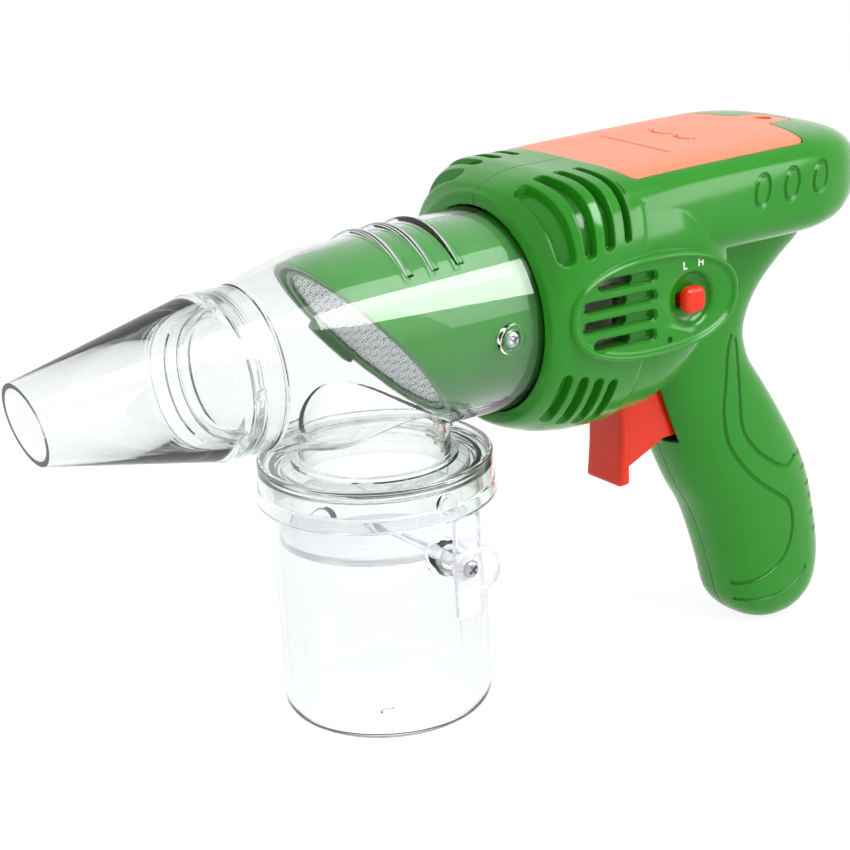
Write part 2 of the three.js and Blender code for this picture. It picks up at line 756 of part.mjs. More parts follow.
// Both shells in one, before they are parted along the middle
function wholeShell() {
  const skin = bodyLoft(0, sides.skin);
  const lining = bodyLoft(shell.wall, sides.lining);
  const padded = joined(skin, panelPad(-1), panelPad(1));
  const hollow = cut(padded, lining);
  const inside = bodyLoft(shell.wall / 2, sides.lining);
  const fittings = joined(
    ...screwPosts(), retainerSlice(), pinBosses(), triggerRibs(), trayRests(), doorRails(),
  );
  const fitted = joined(cut(hollow, doorPrism(0)), shared(fittings, inside));
  return cut(
    fitted, chamberBore(), louvreTool(), panelSlots(-1), panelSlots(1), dishTool(),
    triggerSweep(), pinHole(),
  );
}

function parted(whole) {
  const left = shared(whole, block(-far, far, -far, -shell.seam, -far, far));
  const right = shared(whole, block(-far, far, shell.seam, far, -far, far));
  const leftShell = cut(joined(left, doorPost(0)), doorPostHole(), ...leftPostHoles());
  const rightShell = cut(right, doorPost(gap), ...rightPostHoles());
  return { leftShell, rightShell };
}

// Clear front pieces

function chamberRadius(x) {
  const { frontX, frontRadius, shoulderX, shoulderRadius, rearX, rearRadius } = chamber;
  if (x < shoulderX) {
    return THREE.MathUtils.mapLinear(x, frontX, shoulderX, frontRadius, shoulderRadius);
  }
  return THREE.MathUtils.mapLinear(x, shoulderX, rearX, shoulderRadius, rearRadius);
}

function spigotRadius() {
  return nozzle.bandRadius - nozzle.wall - gap;
}

function chamberSkin() {
  const { frontX, shoulderX, rearX, rearRadius } = chamber;
  const spigotX = frontX - chamber.spigotLength;
  const flangeX = rearX - chamber.flangeWidth;
  const flangeRadius = rearRadius + chamber.flangeProud;
  return turnedX([
    [spigotX, 0], [spigotX, spigotRadius()], [frontX, spigotRadius()], [frontX, chamber.frontRadius],
    [shoulderX, chamber.shoulderRadius], [flangeX, rearRadius], [flangeX, flangeRadius],
    [rearX, flangeRadius], [rearX, 0],
  ]);
}

// The hollow from the spigot's mouth, past the ring that narrows the inlet, to the open rear
function chamberHollow() {
  const { wall, frontX, shoulderX, rearX, inletRadius } = chamber;
  const spigotX = frontX - chamber.spigotLength;
  const inletX = spigotX + chamber.inletSetback;
  const inletEnd = inletX + chamber.inletWall;
  const spigotInner = spigotRadius() - wall;
  return turnedX([
    [spigotX - overrun, 0], [spigotX - overrun, spigotInner], [inletX, spigotInner], [inletX, inletRadius],
    [inletEnd, inletRadius], [inletEnd, spigotInner], [frontX + wall, spigotInner],
    [frontX + wall, chamber.frontRadius - wall], [shoulderX, chamber.shoulderRadius - wall],
    [rearX + overrun, chamber.rearRadius - wall], [rearX + overrun, 0],
  ]);
}

function chamberRibs() {
  const spread = radians(chamber.ribRise);
  const across = far * Math.cos(spread);
  const up = far * Math.sin(spread);
  const wedge = extruded(shapeOf([[0, 0], [across, up], [-across, up]]), far * 2);
  const upper = wedge.rotateX(Math.PI / 2).rotateZ(Math.PI / 2).translate(-far, 0, 0);
  const half = chamber.ribWidth / 2;
  const rings = Array.from({ length: chamber.ribCount }, (none, i) => {
    const x = chamber.ribX + i * chamber.ribPitch;
    const inner = chamberRadius(x) - chamber.wall / 2;
    const outer = chamberRadius(x) + chamber.ribProud;
    return turnedX([[x - half, inner], [x - half, outer], [x + half, outer], [x + half, inner]]);
  });
  return shared(joined(...rings), upper);
}

function housingScrewSeatY() {
  return chamberRadius(chamber.bossX) + chamber.bossProud - screw.headHeight;
}

function chamberBosses() {
  const inner = chamberRadius(chamber.bossX) - chamber.wall;
  const outer = chamberRadius(chamber.bossX) + chamber.bossProud;
  const { bossX, bossRadius } = chamber;
  const near = barY(-outer, -inner, bossRadius, bossRadius, bossX, 0, sides.middle);
  const farSide = barY(inner, outer, bossRadius, bossRadius, bossX, 0, sides.middle);
  return joined(near, farSide);
}

function chamberBossHoles() {
  const seat = housingScrewSeatY();
  const head = screw.headRadius + gap;
  const shank = screw.shankRadius + gap;
  return joined(
    barY(-far, -seat, head, head, chamber.bossX, 0, sides.middle),
    barY(seat, far, head, head, chamber.bossX, 0, sides.middle),
    barY(-far, far, shank, shank, chamber.bossX, 0, sides.small),
  );
}

function jarHeight() {
  return barrel.height - chamber.rearRadius - neck.drop;
}

function axleHeight() {
  return jarHeight() - jar.axleDrop;
}

// Highest reach of the upright trap door at a distance from the jar's axis
function trapDoorTop(distance) {
  const radius = trapDoorRadius();
  return axleHeight() + Math.sqrt(radius * radius - distance * distance);
}

function plateTopZ() {
  return jarHeight() + gap + collar.plate;
}

function neckTube() {
  const flangeZ = plateTopZ() + gap - barrel.height;
  const radius = neck.radius + neck.flangeProud;
  return joined(
    barZ(neckBottomZ() - barrel.height, 0, neck.radius, neck.radius, 0, 0, sides.large),
    barZ(flangeZ, flangeZ + neck.flangeWall, radius, radius, 0, 0, sides.large),
  );
}

function neckBottomZ() {
  return trapDoorTop(neck.radius - neck.wall) + gap;
}

function neckBore() {
  const radius = neck.radius - neck.wall;
  return barZ(-far, -chamber.frontRadius / 2, radius, radius, 0, 0, sides.large);
}

function pinTopZ() {
  return barrel.height - chamberRadius(pin.x);
}

function pinBossBody() {
  const top = pinTopZ() - barrel.height;
  return barZ(top - pin.bossDrop, top + chamber.wall, pin.bossRadius, pin.bossRadius, pin.x, 0, sides.small);
}

function pinBossHole() {
  const top = pinTopZ() - barrel.height;
  const radius = pin.radius + gap;
  return barZ(top - pin.bossDrop - overrun, top + gap, radius, radius, pin.x, 0, sides.small);
}

function chamberHousing() {
  const body = joined(chamberSkin(), neckTube(), chamberBosses(), chamberRibs(), pinBossBody());
  return cut(body, chamberHollow(), neckBore(), chamberBossHoles(), pinBossHole());
}

function nozzleCone() {
  const { tipX, tipRadius, wall, baseRadius, bandRadius } = nozzle;
  const rearX = chamber.frontX - gap;
  const baseX = rearX - nozzle.baseSetback;
  const spigotX = chamber.frontX - chamber.spigotLength - gap;
  const lead = tipRadius * Math.tan(radians(nozzle.cutTilt)) + overrun;
  const slope = (baseRadius - tipRadius) / (baseX - tipX);
  const frontX = tipX - lead;
  const frontRadius = tipRadius - slope * lead;
  const innerAtSpigot = baseRadius - wall + (slope / 2) * (spigotX - baseX);
  const cone = turnedX([
    [frontX, frontRadius], [baseX, baseRadius], [baseX + nozzle.bandStep, bandRadius], [rearX, bandRadius],
    [rearX, bandRadius - wall], [spigotX, bandRadius - wall],
    [spigotX, Math.min(innerAtSpigot, bandRadius - wall)], [baseX, baseRadius - wall],
    [frontX, frontRadius - wall],
  ]);
  const ahead = block(-far, 0, -far, far, -far, far);
  const tipCut = ahead.rotateY(-radians(nozzle.cutTilt)).translate(tipX, 0, 0);
  const lugX = rearX - nozzle.lugSetback;
  const inner = bandRadius - wall / 2;
  const outer = bandRadius + nozzle.lugProud;
  const lug = barY(-outer, -inner, nozzle.lugRadius, nozzle.lugRadius, lugX, 0, sides.small);
  return cut(joined(cone, lug), tipCut);
}

// The green duct and its mesh

function ductRadius(x) {
  return chamberRadius(x) - chamber.wall - runningGap;
}

function ductOutline(inset) {
  const rearX = chamber.rearX + duct.rearProud;
  return [
    [duct.frontX, ductRadius(duct.frontX) - inset],
    [chamber.shoulderX, ductRadius(chamber.shoulderX) - inset], [rearX, ductRadius(chamber.rearX) - inset],
  ];
}

function ductBody() {
  const rearX = chamber.rearX + duct.rearProud;
  const core = turnedX([[duct.frontX, 0], ...ductOutline(0), [rearX, 0]]);
  const tube = turnedX([...ductOutline(0), ...ductOutline(duct.wall).reverse()]);
  const ahead = block(-far, 0, -far, far, -far, far);
  const mouth = ahead.rotateY(radians(duct.slant) - Math.PI / 2).translate(duct.mouthX, 0, 0);
  const body = joined(tube, shared(core, netShelf()), shared(core, ductBosses()));
  const holeRadius = screw.shankRadius + gap;
  const holes = barY(-far, far, holeRadius, holeRadius, chamber.bossX, 0, sides.small);
  return cut(body, mouth, holes);
}

function ductBosses() {
  const reach = ductRadius(chamber.bossX) - duct.wall;
  const radius = duct.bossRadius;
  const outer = reach + duct.wall / 2;
  const inner = reach - duct.bossDepth;
  const near = barY(-outer, -inner, radius, radius, chamber.bossX, 0, sides.middle);
  const farSide = barY(inner, outer, radius, radius, chamber.bossX, 0, sides.middle);
  return joined(near, farSide);
}

function netHalfWidth() {
  return ductRadius(duct.mouthX) - duct.wall - net.margin;
}

function netHalfLength() {
  return netHalfWidth() * netLengthShare;
}

// From the mesh's own plane to its place behind the duct's mouth
function inNetPlane(geometry) {
  const slanted = geometry.translate(net.drop, 0, net.recess).rotateY(radians(duct.slant));
  return slanted.translate(duct.mouthX, 0, 0);
}

function netOval(inset) {
  return ovalOutline(netHalfLength() - inset, netHalfWidth() - inset, 2, sides.large);
}

function netShelf() {
  const front = net.thickness / 2 + gap;
  const slab = block(-far, far, -far, far, front, front + net.shelfWall);
  const hole = prismZ(netOval(net.ringWidth + net.shelfLip), -far, far);
  return cut(inNetPlane(slab), inNetPlane(hole));
}

// One square bar for each opening of the mesh, whole openings only
function netOpenings() {
  const half = (net.pitch - net.wire) / 2;
  const a = netHalfLength() - net.ringWidth;
  const b = netHalfWidth() - net.ringWidth;
  const columns = Math.floor(a / net.pitch);
  const rows = Math.floor(b / net.pitch);
  const bars = [];
  for (let i = -columns; i <= columns; i += 1) {
    for (let j = -rows; j <= rows; j += 1) {
      const u = i * net.pitch;
      const v = j * net.pitch;
      const reach = ((Math.abs(u) + half) / a) ** 2 + ((Math.abs(v) + half) / b) ** 2;
      if (reach < 1) bars.push(block(u - half, u + half, v - half, v + half, -net.thickness, net.thickness));
    }
  }
  return bars;
}

function filterMesh() {
  const plate = prismZ(netOval(0), -net.thickness / 2, net.thickness / 2);
  return cut(inNetPlane(plate), joined(...netOpenings().map(inNetPlane)));
}

function meshRing() {
  const outline = shapeOf(netOval(0));
  outline.holes = [shapeOf(netOval(net.ringWidth))];
  const front = -net.thickness / 2 - gap - net.ringThickness;
  return inNetPlane(extruded(outline, net.ringThickness).translate(0, 0, front));
}

// The jar, its trap door and its collar

function trapDoorRadius() {
  return jar.radius - jar.wall - trapDoor.clearance;
}

function jarEdge(radius, centreRadius, centreZ) {
  return Array.from({ length: sides.corner + 1 }, (none, i) => {
    const angle = (i / sides.corner) * (Math.PI / 2);
    return [centreZ - radius * Math.cos(angle), centreRadius + radius * Math.sin(angle)];
  });
}

function jarHollow() {
  const inner = jar.radius - jar.wall;
  const edge = jar.edgeRadius - jar.wall;
  return turnedZ([
    [jar.floor, 0], ...jarEdge(edge, inner - edge, jar.floor + edge), [jarHeight() + overrun, inner],
    [jarHeight() + overrun, 0],
  ]);
}

function jarBody() {
  const outer = turnedZ([
    [0, 0], ...jarEdge(jar.edgeRadius, jar.radius - jar.edgeRadius, jar.edgeRadius),
    [jarHeight(), jar.radius], [jarHeight(), 0],
  ]);
  const root = jar.radius - jar.wall;
  const nearEnd = -jar.radius - jar.bossReach;
  const farEnd = jar.radius + jar.farBossReach;
  const { bossRadius, bossEndRadius } = jar;
  const z = axleHeight();
  const near = barY(nearEnd, -root, bossEndRadius, bossRadius, 0, z, sides.middle);
  const farSide = barY(root, farEnd, bossRadius, bossEndRadius, 0, z, sides.middle);
  const holeRadius = jar.axleRadius + gap;
  const hole = barY(nearEnd - overrun, farEnd - jar.farBossCap, holeRadius, holeRadius, 0, z, sides.middle);
  return cut(joined(outer, near, farSide), jarHollow(), hole);
}

function trapDoorBody() {
  const half = trapDoor.thickness / 2;
  const radius = trapDoorRadius();
  const nearEnd = -jar.radius - jar.bossReach;
  const farEnd = jar.radius + jar.farBossReach - jar.farBossCap - gap;
  const disc = barZ(-half, half, radius, radius, 0, 0, sides.large);
  const axle = barY(nearEnd, farEnd, jar.axleRadius, jar.axleRadius, 0, 0, sides.small);
  const holeRadius = screw.shankRadius + gap;
  const hole = barY(nearEnd - overrun, nearEnd + screw.reach, holeRadius, holeRadius, 0, 0, sides.small);
  return cut(joined(disc, axle), hole);
}

function leverY() {
  return -jar.radius - jar.bossReach - gap;
}

function gateLever() {
  const y1 = leverY();
  const y0 = y1 - lever.thickness;
  const { halfWidth, halfLength, corner } = lever;
  const bar = prismY([
    [halfWidth, halfLength - corner], [halfWidth - corner, halfLength], [corner - halfWidth, halfLength],
    [-halfWidth, halfLength - corner], [-halfWidth, corner - halfLength], [corner - halfWidth, -halfLength],
    [halfWidth - corner, -halfLength], [halfWidth, corner - halfLength],
  ], y0, y1);
  const { tabRadius, tabForward, tabDrop, tabProud } = lever;
  const tab = barY(y0 - tabProud, y1, tabRadius, tabRadius, tabForward, -tabDrop, sides.middle);
  const seat = barY(y0 - overrun, y0, screw.headRadius + gap, screw.headRadius + gap, 0, 0, sides.middle);
  const holeRadius = screw.shankRadius + gap;
  return cut(joined(bar, tab), seat, barY(-far, far, holeRadius, holeRadius, 0, 0, sides.small));
}

function jarCollar() {
  const top = plateTopZ();
  const rim = top + collar.rimLip;
  const under = jarHeight() + gap;
  const wallInner = jar.radius + collar.wallClearance;
  const wallOuter = wallInner + collar.wall;
  const low = under - collar.wallDrop;
  const skirtOuter = jar.radius - jar.wall - gap;
  const skirtInner = skirtOuter - collar.skirtWall;
  const hole = neck.radius + gap;
  const ring = turnedZ([
    [rim, wallOuter], [under, wallOuter], [low, wallOuter + collar.flare], [low, wallInner + collar.flare],
    [under, wallInner], [under, skirtOuter], [under - collar.skirtDrop, skirtOuter],
    [under - collar.skirtDrop, skirtInner], [under, skirtInner], [under, hole], [top, hole],
    [top, wallInner], [rim, wallInner],
  ]);
  const lugZ = under - collar.lugDrop;
  const { lugRadius, lugDishRadius } = collar;
  const lugOuter = wallOuter + collar.flare / 2 + collar.lugProud;
  const lug = barY(-lugOuter, -wallInner - collar.wall / 2, lugRadius, lugRadius, 0, lugZ, sides.middle);
  const dishInner = -lugOuter + collar.lugDishDepth;
  const dish = barY(-lugOuter - overrun, dishInner, lugDishRadius, lugDishRadius, 0, lugZ, sides.middle);
  const pinHoleRadius = pin.radius + gap;
  const pinBore = barZ(0, far, pinHoleRadius, pinHoleRadius, pin.x, 0, sides.small);
  return cut(joined(ring, lug), dish, pinBore);
}

function collarPin() {
  return barZ(jarHeight() + gap - pin.drop, pinTopZ(), pin.radius, pin.radius, pin.x, 0, sides.small);
}

// Screws and small fittings

// A screw that points down from its seat at zero
function plainScrew(reach) {
  const { headRadius, headHeight, shankRadius } = screw;
  const head = barZ(0, headHeight, headRadius, headRadius * headTaperShare, 0, 0, sides.small);
  const shank = barZ(-reach, headHeight / 2, shankRadius, shankRadius, 0, 0, sides.small);
  return joined(head, shank);
}

function crossScrew(reach) {
  const { headRadius, headHeight, crossWidth, crossDepth } = screw;
  const arm = headRadius * crossArmShare;
  const low = headHeight - crossDepth;
  const high = headHeight + overrun;
  return cut(
    plainScrew(reach), block(-arm, arm, -crossWidth / 2, crossWidth / 2, low, high),
    block(-crossWidth / 2, crossWidth / 2, -arm, arm, low, high),
  );
}

function speedKnob() {
  const face = panelFace();
  const { x, z } = dishCentre();
  const back = -face + panel.dishDepth - gap;
  const { halfLength, halfHeight, stemHalfLength, stemHalfHeight, proud } = knob;
  const button = block(x - halfLength, x + halfLength, -face - proud, back, z - halfHeight, z + halfHeight);
  const [x0, x1] = [x - stemHalfLength, x + stemHalfLength];
  const stemEnd = -speedSwitchY() - gap;
  const stem = block(x0, x1, back - proud, stemEnd, z - stemHalfHeight, z + stemHalfHeight);
  return joined(button, stem);
}

function speedSwitchY() {
  return hood.halfWidth - waist.step - shell.wall - speedSwitch.setback;
}

function speedSwitchBody() {
  const { x, z } = dishCentre();
  const { halfLength, halfHeight, depth } = speedSwitch;
  const front = speedSwitchY();
  return block(x - halfLength, x + halfLength, -front, -front + depth, z - halfHeight, z + halfHeight);
}

// Battery box

function cellSpan() {
  return battery.length + battery.capLength + contact.spring;
}

function cellZ() {
  return tray.floorZ + tray.wall + gap + battery.radius;
}

function cellX(i) {
  return battery.firstX + i * battery.pitch;
}

function batteryCell(direction) {
  const half = cellSpan() / 2;
  const shoulder = half - battery.capLength;
  const can = barY(-half + contact.spring, shoulder, battery.radius, battery.radius, 0, 0, sides.middle);
  const { capLength, capRadius } = battery;
  const cap = barY(shoulder - capLength, half, capRadius, capRadius, 0, 0, sides.small);
  const cell = joined(can, cap);
  return direction > 0 ? cell : cell.mirror([0, 1, 0]);
}

function plateY() {
  return cellSpan() / 2 + gap;
}

// A contact leaf on one side of the tray, with a spring cone at each negative end
function contactPlate(side, cells, springs) {
  const x0 = cellX(cells[0]) - contact.halfLength;
  const x1 = cellX(cells[cells.length - 1]) + contact.halfLength;
  const inner = plateY();
  const z = cellZ();
  const { springRadius, springEndRadius, spring, thickness, halfHeight } = contact;
  const leaf = block(x0, x1, inner, inner + thickness, z - halfHeight, z + halfHeight);
  const root = inner + thickness / 2;
  const cones = springs.map((i) => {
    return barY(inner - spring, root, springEndRadius, springRadius, cellX(i), z, sides.small);
  });
  const plate = joined(leaf, ...cones);
  return side > 0 ? plate : plate.mirror([0, 1, 0]);
}

function batteryTray() {
  const innerY = plateY() + contact.thickness + gap;
  const outerY = innerY + tray.wall;
  const reach = battery.radius + gap;
  const x0 = cellX(0) - reach;
  const x1 = cellX(battery.count - 1) + reach;
  const outer = block(x0 - tray.wall, x1 + tray.wall, -outerY, outerY, tray.floorZ, tray.topZ);
  return cut(outer, block(x0, x1, -innerY, innerY, tray.floorZ + tray.wall, tray.topZ + overrun));
}

// Motor, fan and what carries them

function motorFrontX() {
  return motorMount.frontX + motorMount.wall + gap;
}

function motorBody() {
  const x = motorFrontX();
  const can = barX(x, x + motor.length, motor.radius, motor.radius, 0, 0, sides.middle);
  const holeRadius = shaft.radius + gap;
  return cut(can, barX(x - overrun, x + shaft.inside + gap, holeRadius, holeRadius, 0, 0, sides.small));
}

function motorMountBody() {
  const { frontX, wall, cupWall, cupLength, ventRadius, ventCount, ventRing, doorRoom } = motorMount;
  const rearX = frontX + wall;
  const slice = block(frontX, rearX, -far, far, -far, far);
  const inside = joined(hoodLoft(shell.wall + gap, sides.lining), rearLoft(shell.wall + gap, sides.lining));
  const plate = shared(inside, slice);
  const cupRadius = motor.radius + gap + cupWall;
  const cup = barX(frontX, rearX + cupLength, cupRadius, cupRadius, 0, 0, sides.middle);
  const seat = barX(rearX, far, motor.radius + gap, motor.radius + gap, 0, 0, sides.middle);
  const holeRadius = shaft.radius + runningGap;
  const hole = barX(-far, far, holeRadius, holeRadius, 0, 0, sides.small);
  const vents = Array.from({ length: ventCount }, (none, i) => {
    const angle = ((i + 1 / 2) / ventCount) * Math.PI * 2;
    const y = ventRing * Math.cos(angle);
    const z = ventRing * Math.sin(angle);
    return barX(frontX - overrun, rearX + overrun, ventRadius, ventRadius, y, z, sides.small);
  });
  // The plate stops below the front of the battery door, which swings there
  const top = box.middle + box.above - door.thickness - doorRoom;
  const swingRoom = block(frontX - overrun, far, -far, far, top, far);
  return cut(joined(plate, cup), seat, hole, swingRoom, ...vents);
}

function fanRearX() {
  return motorMount.frontX - fan.rearSetback;
}

function fanBody() {
  const rearX = fanRearX();
  const plate = barX(rearX - fan.backWall, rearX, fan.radius, fan.radius, 0, 0, sides.large);
  const hubFront = fan.hubRadius * hubFrontShare;
  const hub = barX(rearX - fan.hubDepth, rearX, hubFront, fan.hubRadius, 0, 0, sides.middle);
  const half = fan.bladeThickness / 2;
  const blades = Array.from({ length: fan.bladeCount }, (none, i) => {
    const inner = fan.hubRadius * bladeRootShare;
    const outer = fan.radius - fan.bladeThickness;
    const blade = block(rearX - fan.depth, rearX - fan.backWall / 2, inner, outer, -half, half);
    return blade.rotateX((i / fan.bladeCount) * Math.PI * 2);
  });
  const holeRadius = shaft.radius + gap;
  const bore = barX(rearX - fan.hubDepth + fan.backWall, far, holeRadius, holeRadius, 0, 0, sides.small);
  return cut(joined(plate, hub, ...blades), bore);
}

function motorShaft() {
  const front = fanRearX() - fan.hubDepth + fan.backWall + gap;
  return barX(front, motorFrontX() + shaft.inside, shaft.radius, shaft.radius, 0, 0, sides.small);
}

function fanShroudBody() {
  const { length, radius, wall, eyeRadius, windowHalf, windowSetback } = fanShroud;
  const rearX = motorMount.frontX - gap;
  const frontX = rearX - length;
  const inner = radius - wall;
  const cup = turnedX([
    [frontX, eyeRadius], [frontX, radius], [rearX, radius], [rearX, inner], [frontX + wall, inner],
    [frontX + wall, eyeRadius],
  ]);
  const x0 = frontX + windowSetback;
  const x1 = rearX - windowSetback;
  const across = block(x0, x1, -far, far, -windowHalf, windowHalf);
  const upright = block(x0, x1, -windowHalf, windowHalf, -far, far);
  return cut(cup, across, upright);
}

// Materials and meshes

function finish(color, roughness, metalness) {
  return new THREE.MeshStandardMaterial({ color, roughness, metalness });
}

function clearFinish(color) {
  return new THREE.MeshStandardMaterial({
    color, roughness: 0.05, metalness: 0, transparent: true, opacity: 0.35,
  });
}

function piece(name, shape, material) {
  const mesh = new THREE.Mesh(geometryOf(shape), material);
  mesh.name = name;
  return mesh;
}

function placed(mesh, x, y, z, turnX) {
  mesh.position.set(x, y, z);
  mesh.rotation.x = turnX;
  return mesh;
}

function jarPieces() {
  const clear = clearFinish(colour.clear);
  const smoke = clearFinish(colour.smoke);
  const metal = finish(colour.metal, 0.3, 1);
  const z = axleHeight();
  const screwY = leverY() - lever.thickness - gap;
  return [
    piece('jar', jarBody(), clear),
    placed(piece('trap_door', trapDoorBody(), smoke), 0, 0, z, 0),
    placed(piece('gate_lever', gateLever(), smoke), 0, 0, z, 0),
    placed(piece('gate_screw', crossScrew(screw.reach), metal), 0, screwY, z, Math.PI / 2),
    piece('jar_collar', jarCollar(), clear),
    piece('collar_pin', collarPin(), finish(colour.copper, 0.4, 0.8)),
  ];
}

function frontPieces() {
  const clear = clearFinish(colour.clear);
  const metal = finish(colour.metal, 0.3, 1);
  const screwY = housingScrewSeatY() + gap;
  const { bossX } = chamber;
  return [
    piece('nozzle_cone', nozzleCone(), clear),
    piece('chamber_housing', chamberHousing(), clear),
    placed(piece('housing_screw_left', crossScrew(screw.reach), metal), bossX, -screwY, 0, Math.PI / 2),
    placed(piece('housing_screw_right', crossScrew(screw.reach), metal), bossX, screwY, 0, -Math.PI / 2),
    piece('filter_duct', ductBody(), finish(colour.green, 0.25, 0)),
    piece('filter_mesh', filterMesh(), metal),
    piece('mesh_ring', meshRing(), finish(colour.deepGreen, 0.3, 0)),
  ];
}

function shellPieces() {
  const { leftShell, rightShell } = parted(wholeShell());
  const green = finish(colour.green, 0.22, 0);
  const metal = finish(colour.metal, 0.3, 1);
  const { x, seatZ } = doorScrewPlace();
  const screws = postPlaces().map((place, i) => {
    const one = piece(`case_screw_${i + 1}`, plainScrew(screw.reach), metal);
    return placed(one, place.x, post.headSeat + gap, place.z, -Math.PI / 2);
  });
  return [
    piece('shell_left', leftShell, green),
    piece('shell_right', rightShell, green),
    piece('battery_door', batteryDoor(), finish(colour.orange, 0.25, 0)),
    placed(piece('door_screw', crossScrew(doorScrewReach), metal), x, 0, seatZ + gap, 0),
    ...screws,
  ];
}

function controlPieces() {
  const red = finish(colour.red, 0.25, 0);
  const dark = finish(colour.dark, 0.5, 0);
  const metal = finish(colour.metal, 0.3, 1);
  const { x, z } = pivot();
  const half = pinHalfLength();
  return [
    piece('trigger', triggerBody(), red),
    piece('trigger_pin', barY(-half, half, trigger.pinRadius, trigger.pinRadius, x, z, sides.small), metal),
    piece('trigger_spring', triggerSpringBody(), metal),
    piece('trigger_switch', triggerSwitchBody(), dark),
    piece('speed_knob', speedKnob(), red),
    piece('speed_switch', speedSwitchBody(), dark),
  ];
}

function drivePieces() {
  const metal = finish(colour.metal, 0.3, 1);
  const ivory = finish(colour.ivory, 0.5, 0);
  return [
    piece('motor', motorBody(), metal),
    piece('motor_shaft', motorShaft(), metal),
    piece('motor_mount', motorMountBody(), ivory),
    piece('fan', fanBody(), ivory),
    piece('fan_shroud', fanShroudBody(), ivory),
  ];
}

function batteryPieces() {
  const metal = finish(colour.metal, 0.3, 1);
  const cells = Array.from({ length: battery.count }, (none, i) => {
    const cell = piece(`battery_${i + 1}`, batteryCell(i % 2 === 0 ? 1 : -1), finish(colour.cell, 0.3, 0.6));
    return placed(cell, cellX(i), 0, cellZ(), 0);
  });
  const last = battery.count - 1;
  return [
    piece('battery_tray', batteryTray(), finish(colour.dark, 0.5, 0)),
    ...cells,
    piece('contact_front', contactPlate(-1, [0], [0]), metal),
    piece('contact_left', contactPlate(-1, [1, last - 1], [last - 1]), metal),
    piece('contact_rear', contactPlate(-1, [last], []), metal),
    piece('contact_right_front', contactPlate(1, [0, 1], [1]), metal),
    piece('contact_right_rear', contactPlate(1, [last - 1, last], [last]), metal),
  ];
}

// Tips the whole until the grip's foot and the jar's front edge are level
function stanceTilt() {
  const footShare = gripShares[gripShares.length - 1][1];
  const footX = grip.frontX + grip.depth * footShare;
  const drop = grip.height - grip.topZ - barrel.height;
  return Math.atan2(drop, footX + jar.radius - jar.edgeRadius);
}

function standing(group) {
  const bounds = new THREE.Box3().setFromObject(group, true);
  const centre = bounds.getCenter(new THREE.Vector3());
  group.position.set(-centre.x, -centre.y, -bounds.min.z);
  return group;
}

const barrelGroup = new THREE.Group();
barrelGroup.position.z = barrel.height;
barrelGroup.add(...frontPieces(), ...shellPieces(), ...controlPieces());
barrelGroup.add(...drivePieces(), ...batteryPieces());

const tipped = new THREE.Group();
tipped.rotation.y = -stanceTilt();
tipped.add(barrelGroup, ...jarPieces());

const bugVacuum = new THREE.Group();
bugVacuum.add(tipped);

export default standing(bugVacuum);
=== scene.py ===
"""Smooth moulded shells, clear plastic, woven mesh and a white studio for the toy bug vacuum."""

import json
import math
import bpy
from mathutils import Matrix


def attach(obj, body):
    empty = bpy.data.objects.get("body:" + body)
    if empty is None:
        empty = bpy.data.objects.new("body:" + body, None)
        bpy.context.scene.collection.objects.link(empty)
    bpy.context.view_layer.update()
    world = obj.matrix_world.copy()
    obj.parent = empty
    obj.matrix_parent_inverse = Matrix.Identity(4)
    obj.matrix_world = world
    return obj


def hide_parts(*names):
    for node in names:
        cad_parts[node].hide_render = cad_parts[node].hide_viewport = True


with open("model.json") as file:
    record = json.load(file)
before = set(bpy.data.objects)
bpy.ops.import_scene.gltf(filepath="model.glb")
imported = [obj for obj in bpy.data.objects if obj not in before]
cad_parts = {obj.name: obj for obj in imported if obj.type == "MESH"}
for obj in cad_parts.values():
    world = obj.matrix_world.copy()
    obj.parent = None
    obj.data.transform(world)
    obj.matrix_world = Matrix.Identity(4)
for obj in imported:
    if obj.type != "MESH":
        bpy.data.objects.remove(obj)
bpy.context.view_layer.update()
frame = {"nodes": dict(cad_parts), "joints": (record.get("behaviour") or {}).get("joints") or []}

from types import SimpleNamespace

import bmesh
import bpy
from mathutils import Matrix, Vector
from mathutils.bvhtree import BVHTree

bl_info = {
    "name": "Toy Bug Vacuum",
    "version": (1, 0, 0),
    "blender": (4, 5, 0),
    "location": "View3D > Sidebar > Bug Vacuum",
    "description": "Builds the toy bug vacuum's visible surfaces and its studio",
    "category": "Object",
}

MM = 0.001
GAP = 0.3 * MM
FAR = 0.4
AXIS_HEIGHT = 120 * MM
JAR_TWIST_HEIGHT = 76 * MM
ROUND = 112
FINE = 160
COARSE = 64
JAR_SIDES = 128
# How far a cutter starts outside the piece that it cuts
OVERRUN = 4 * MM
WELD = 0.001 * MM
FINE_WELD = 0.0005 * MM
TINY = 1e-9
CORNER_SHARE = 0.45
NEARLY_STRAIGHT = math.radians(160)

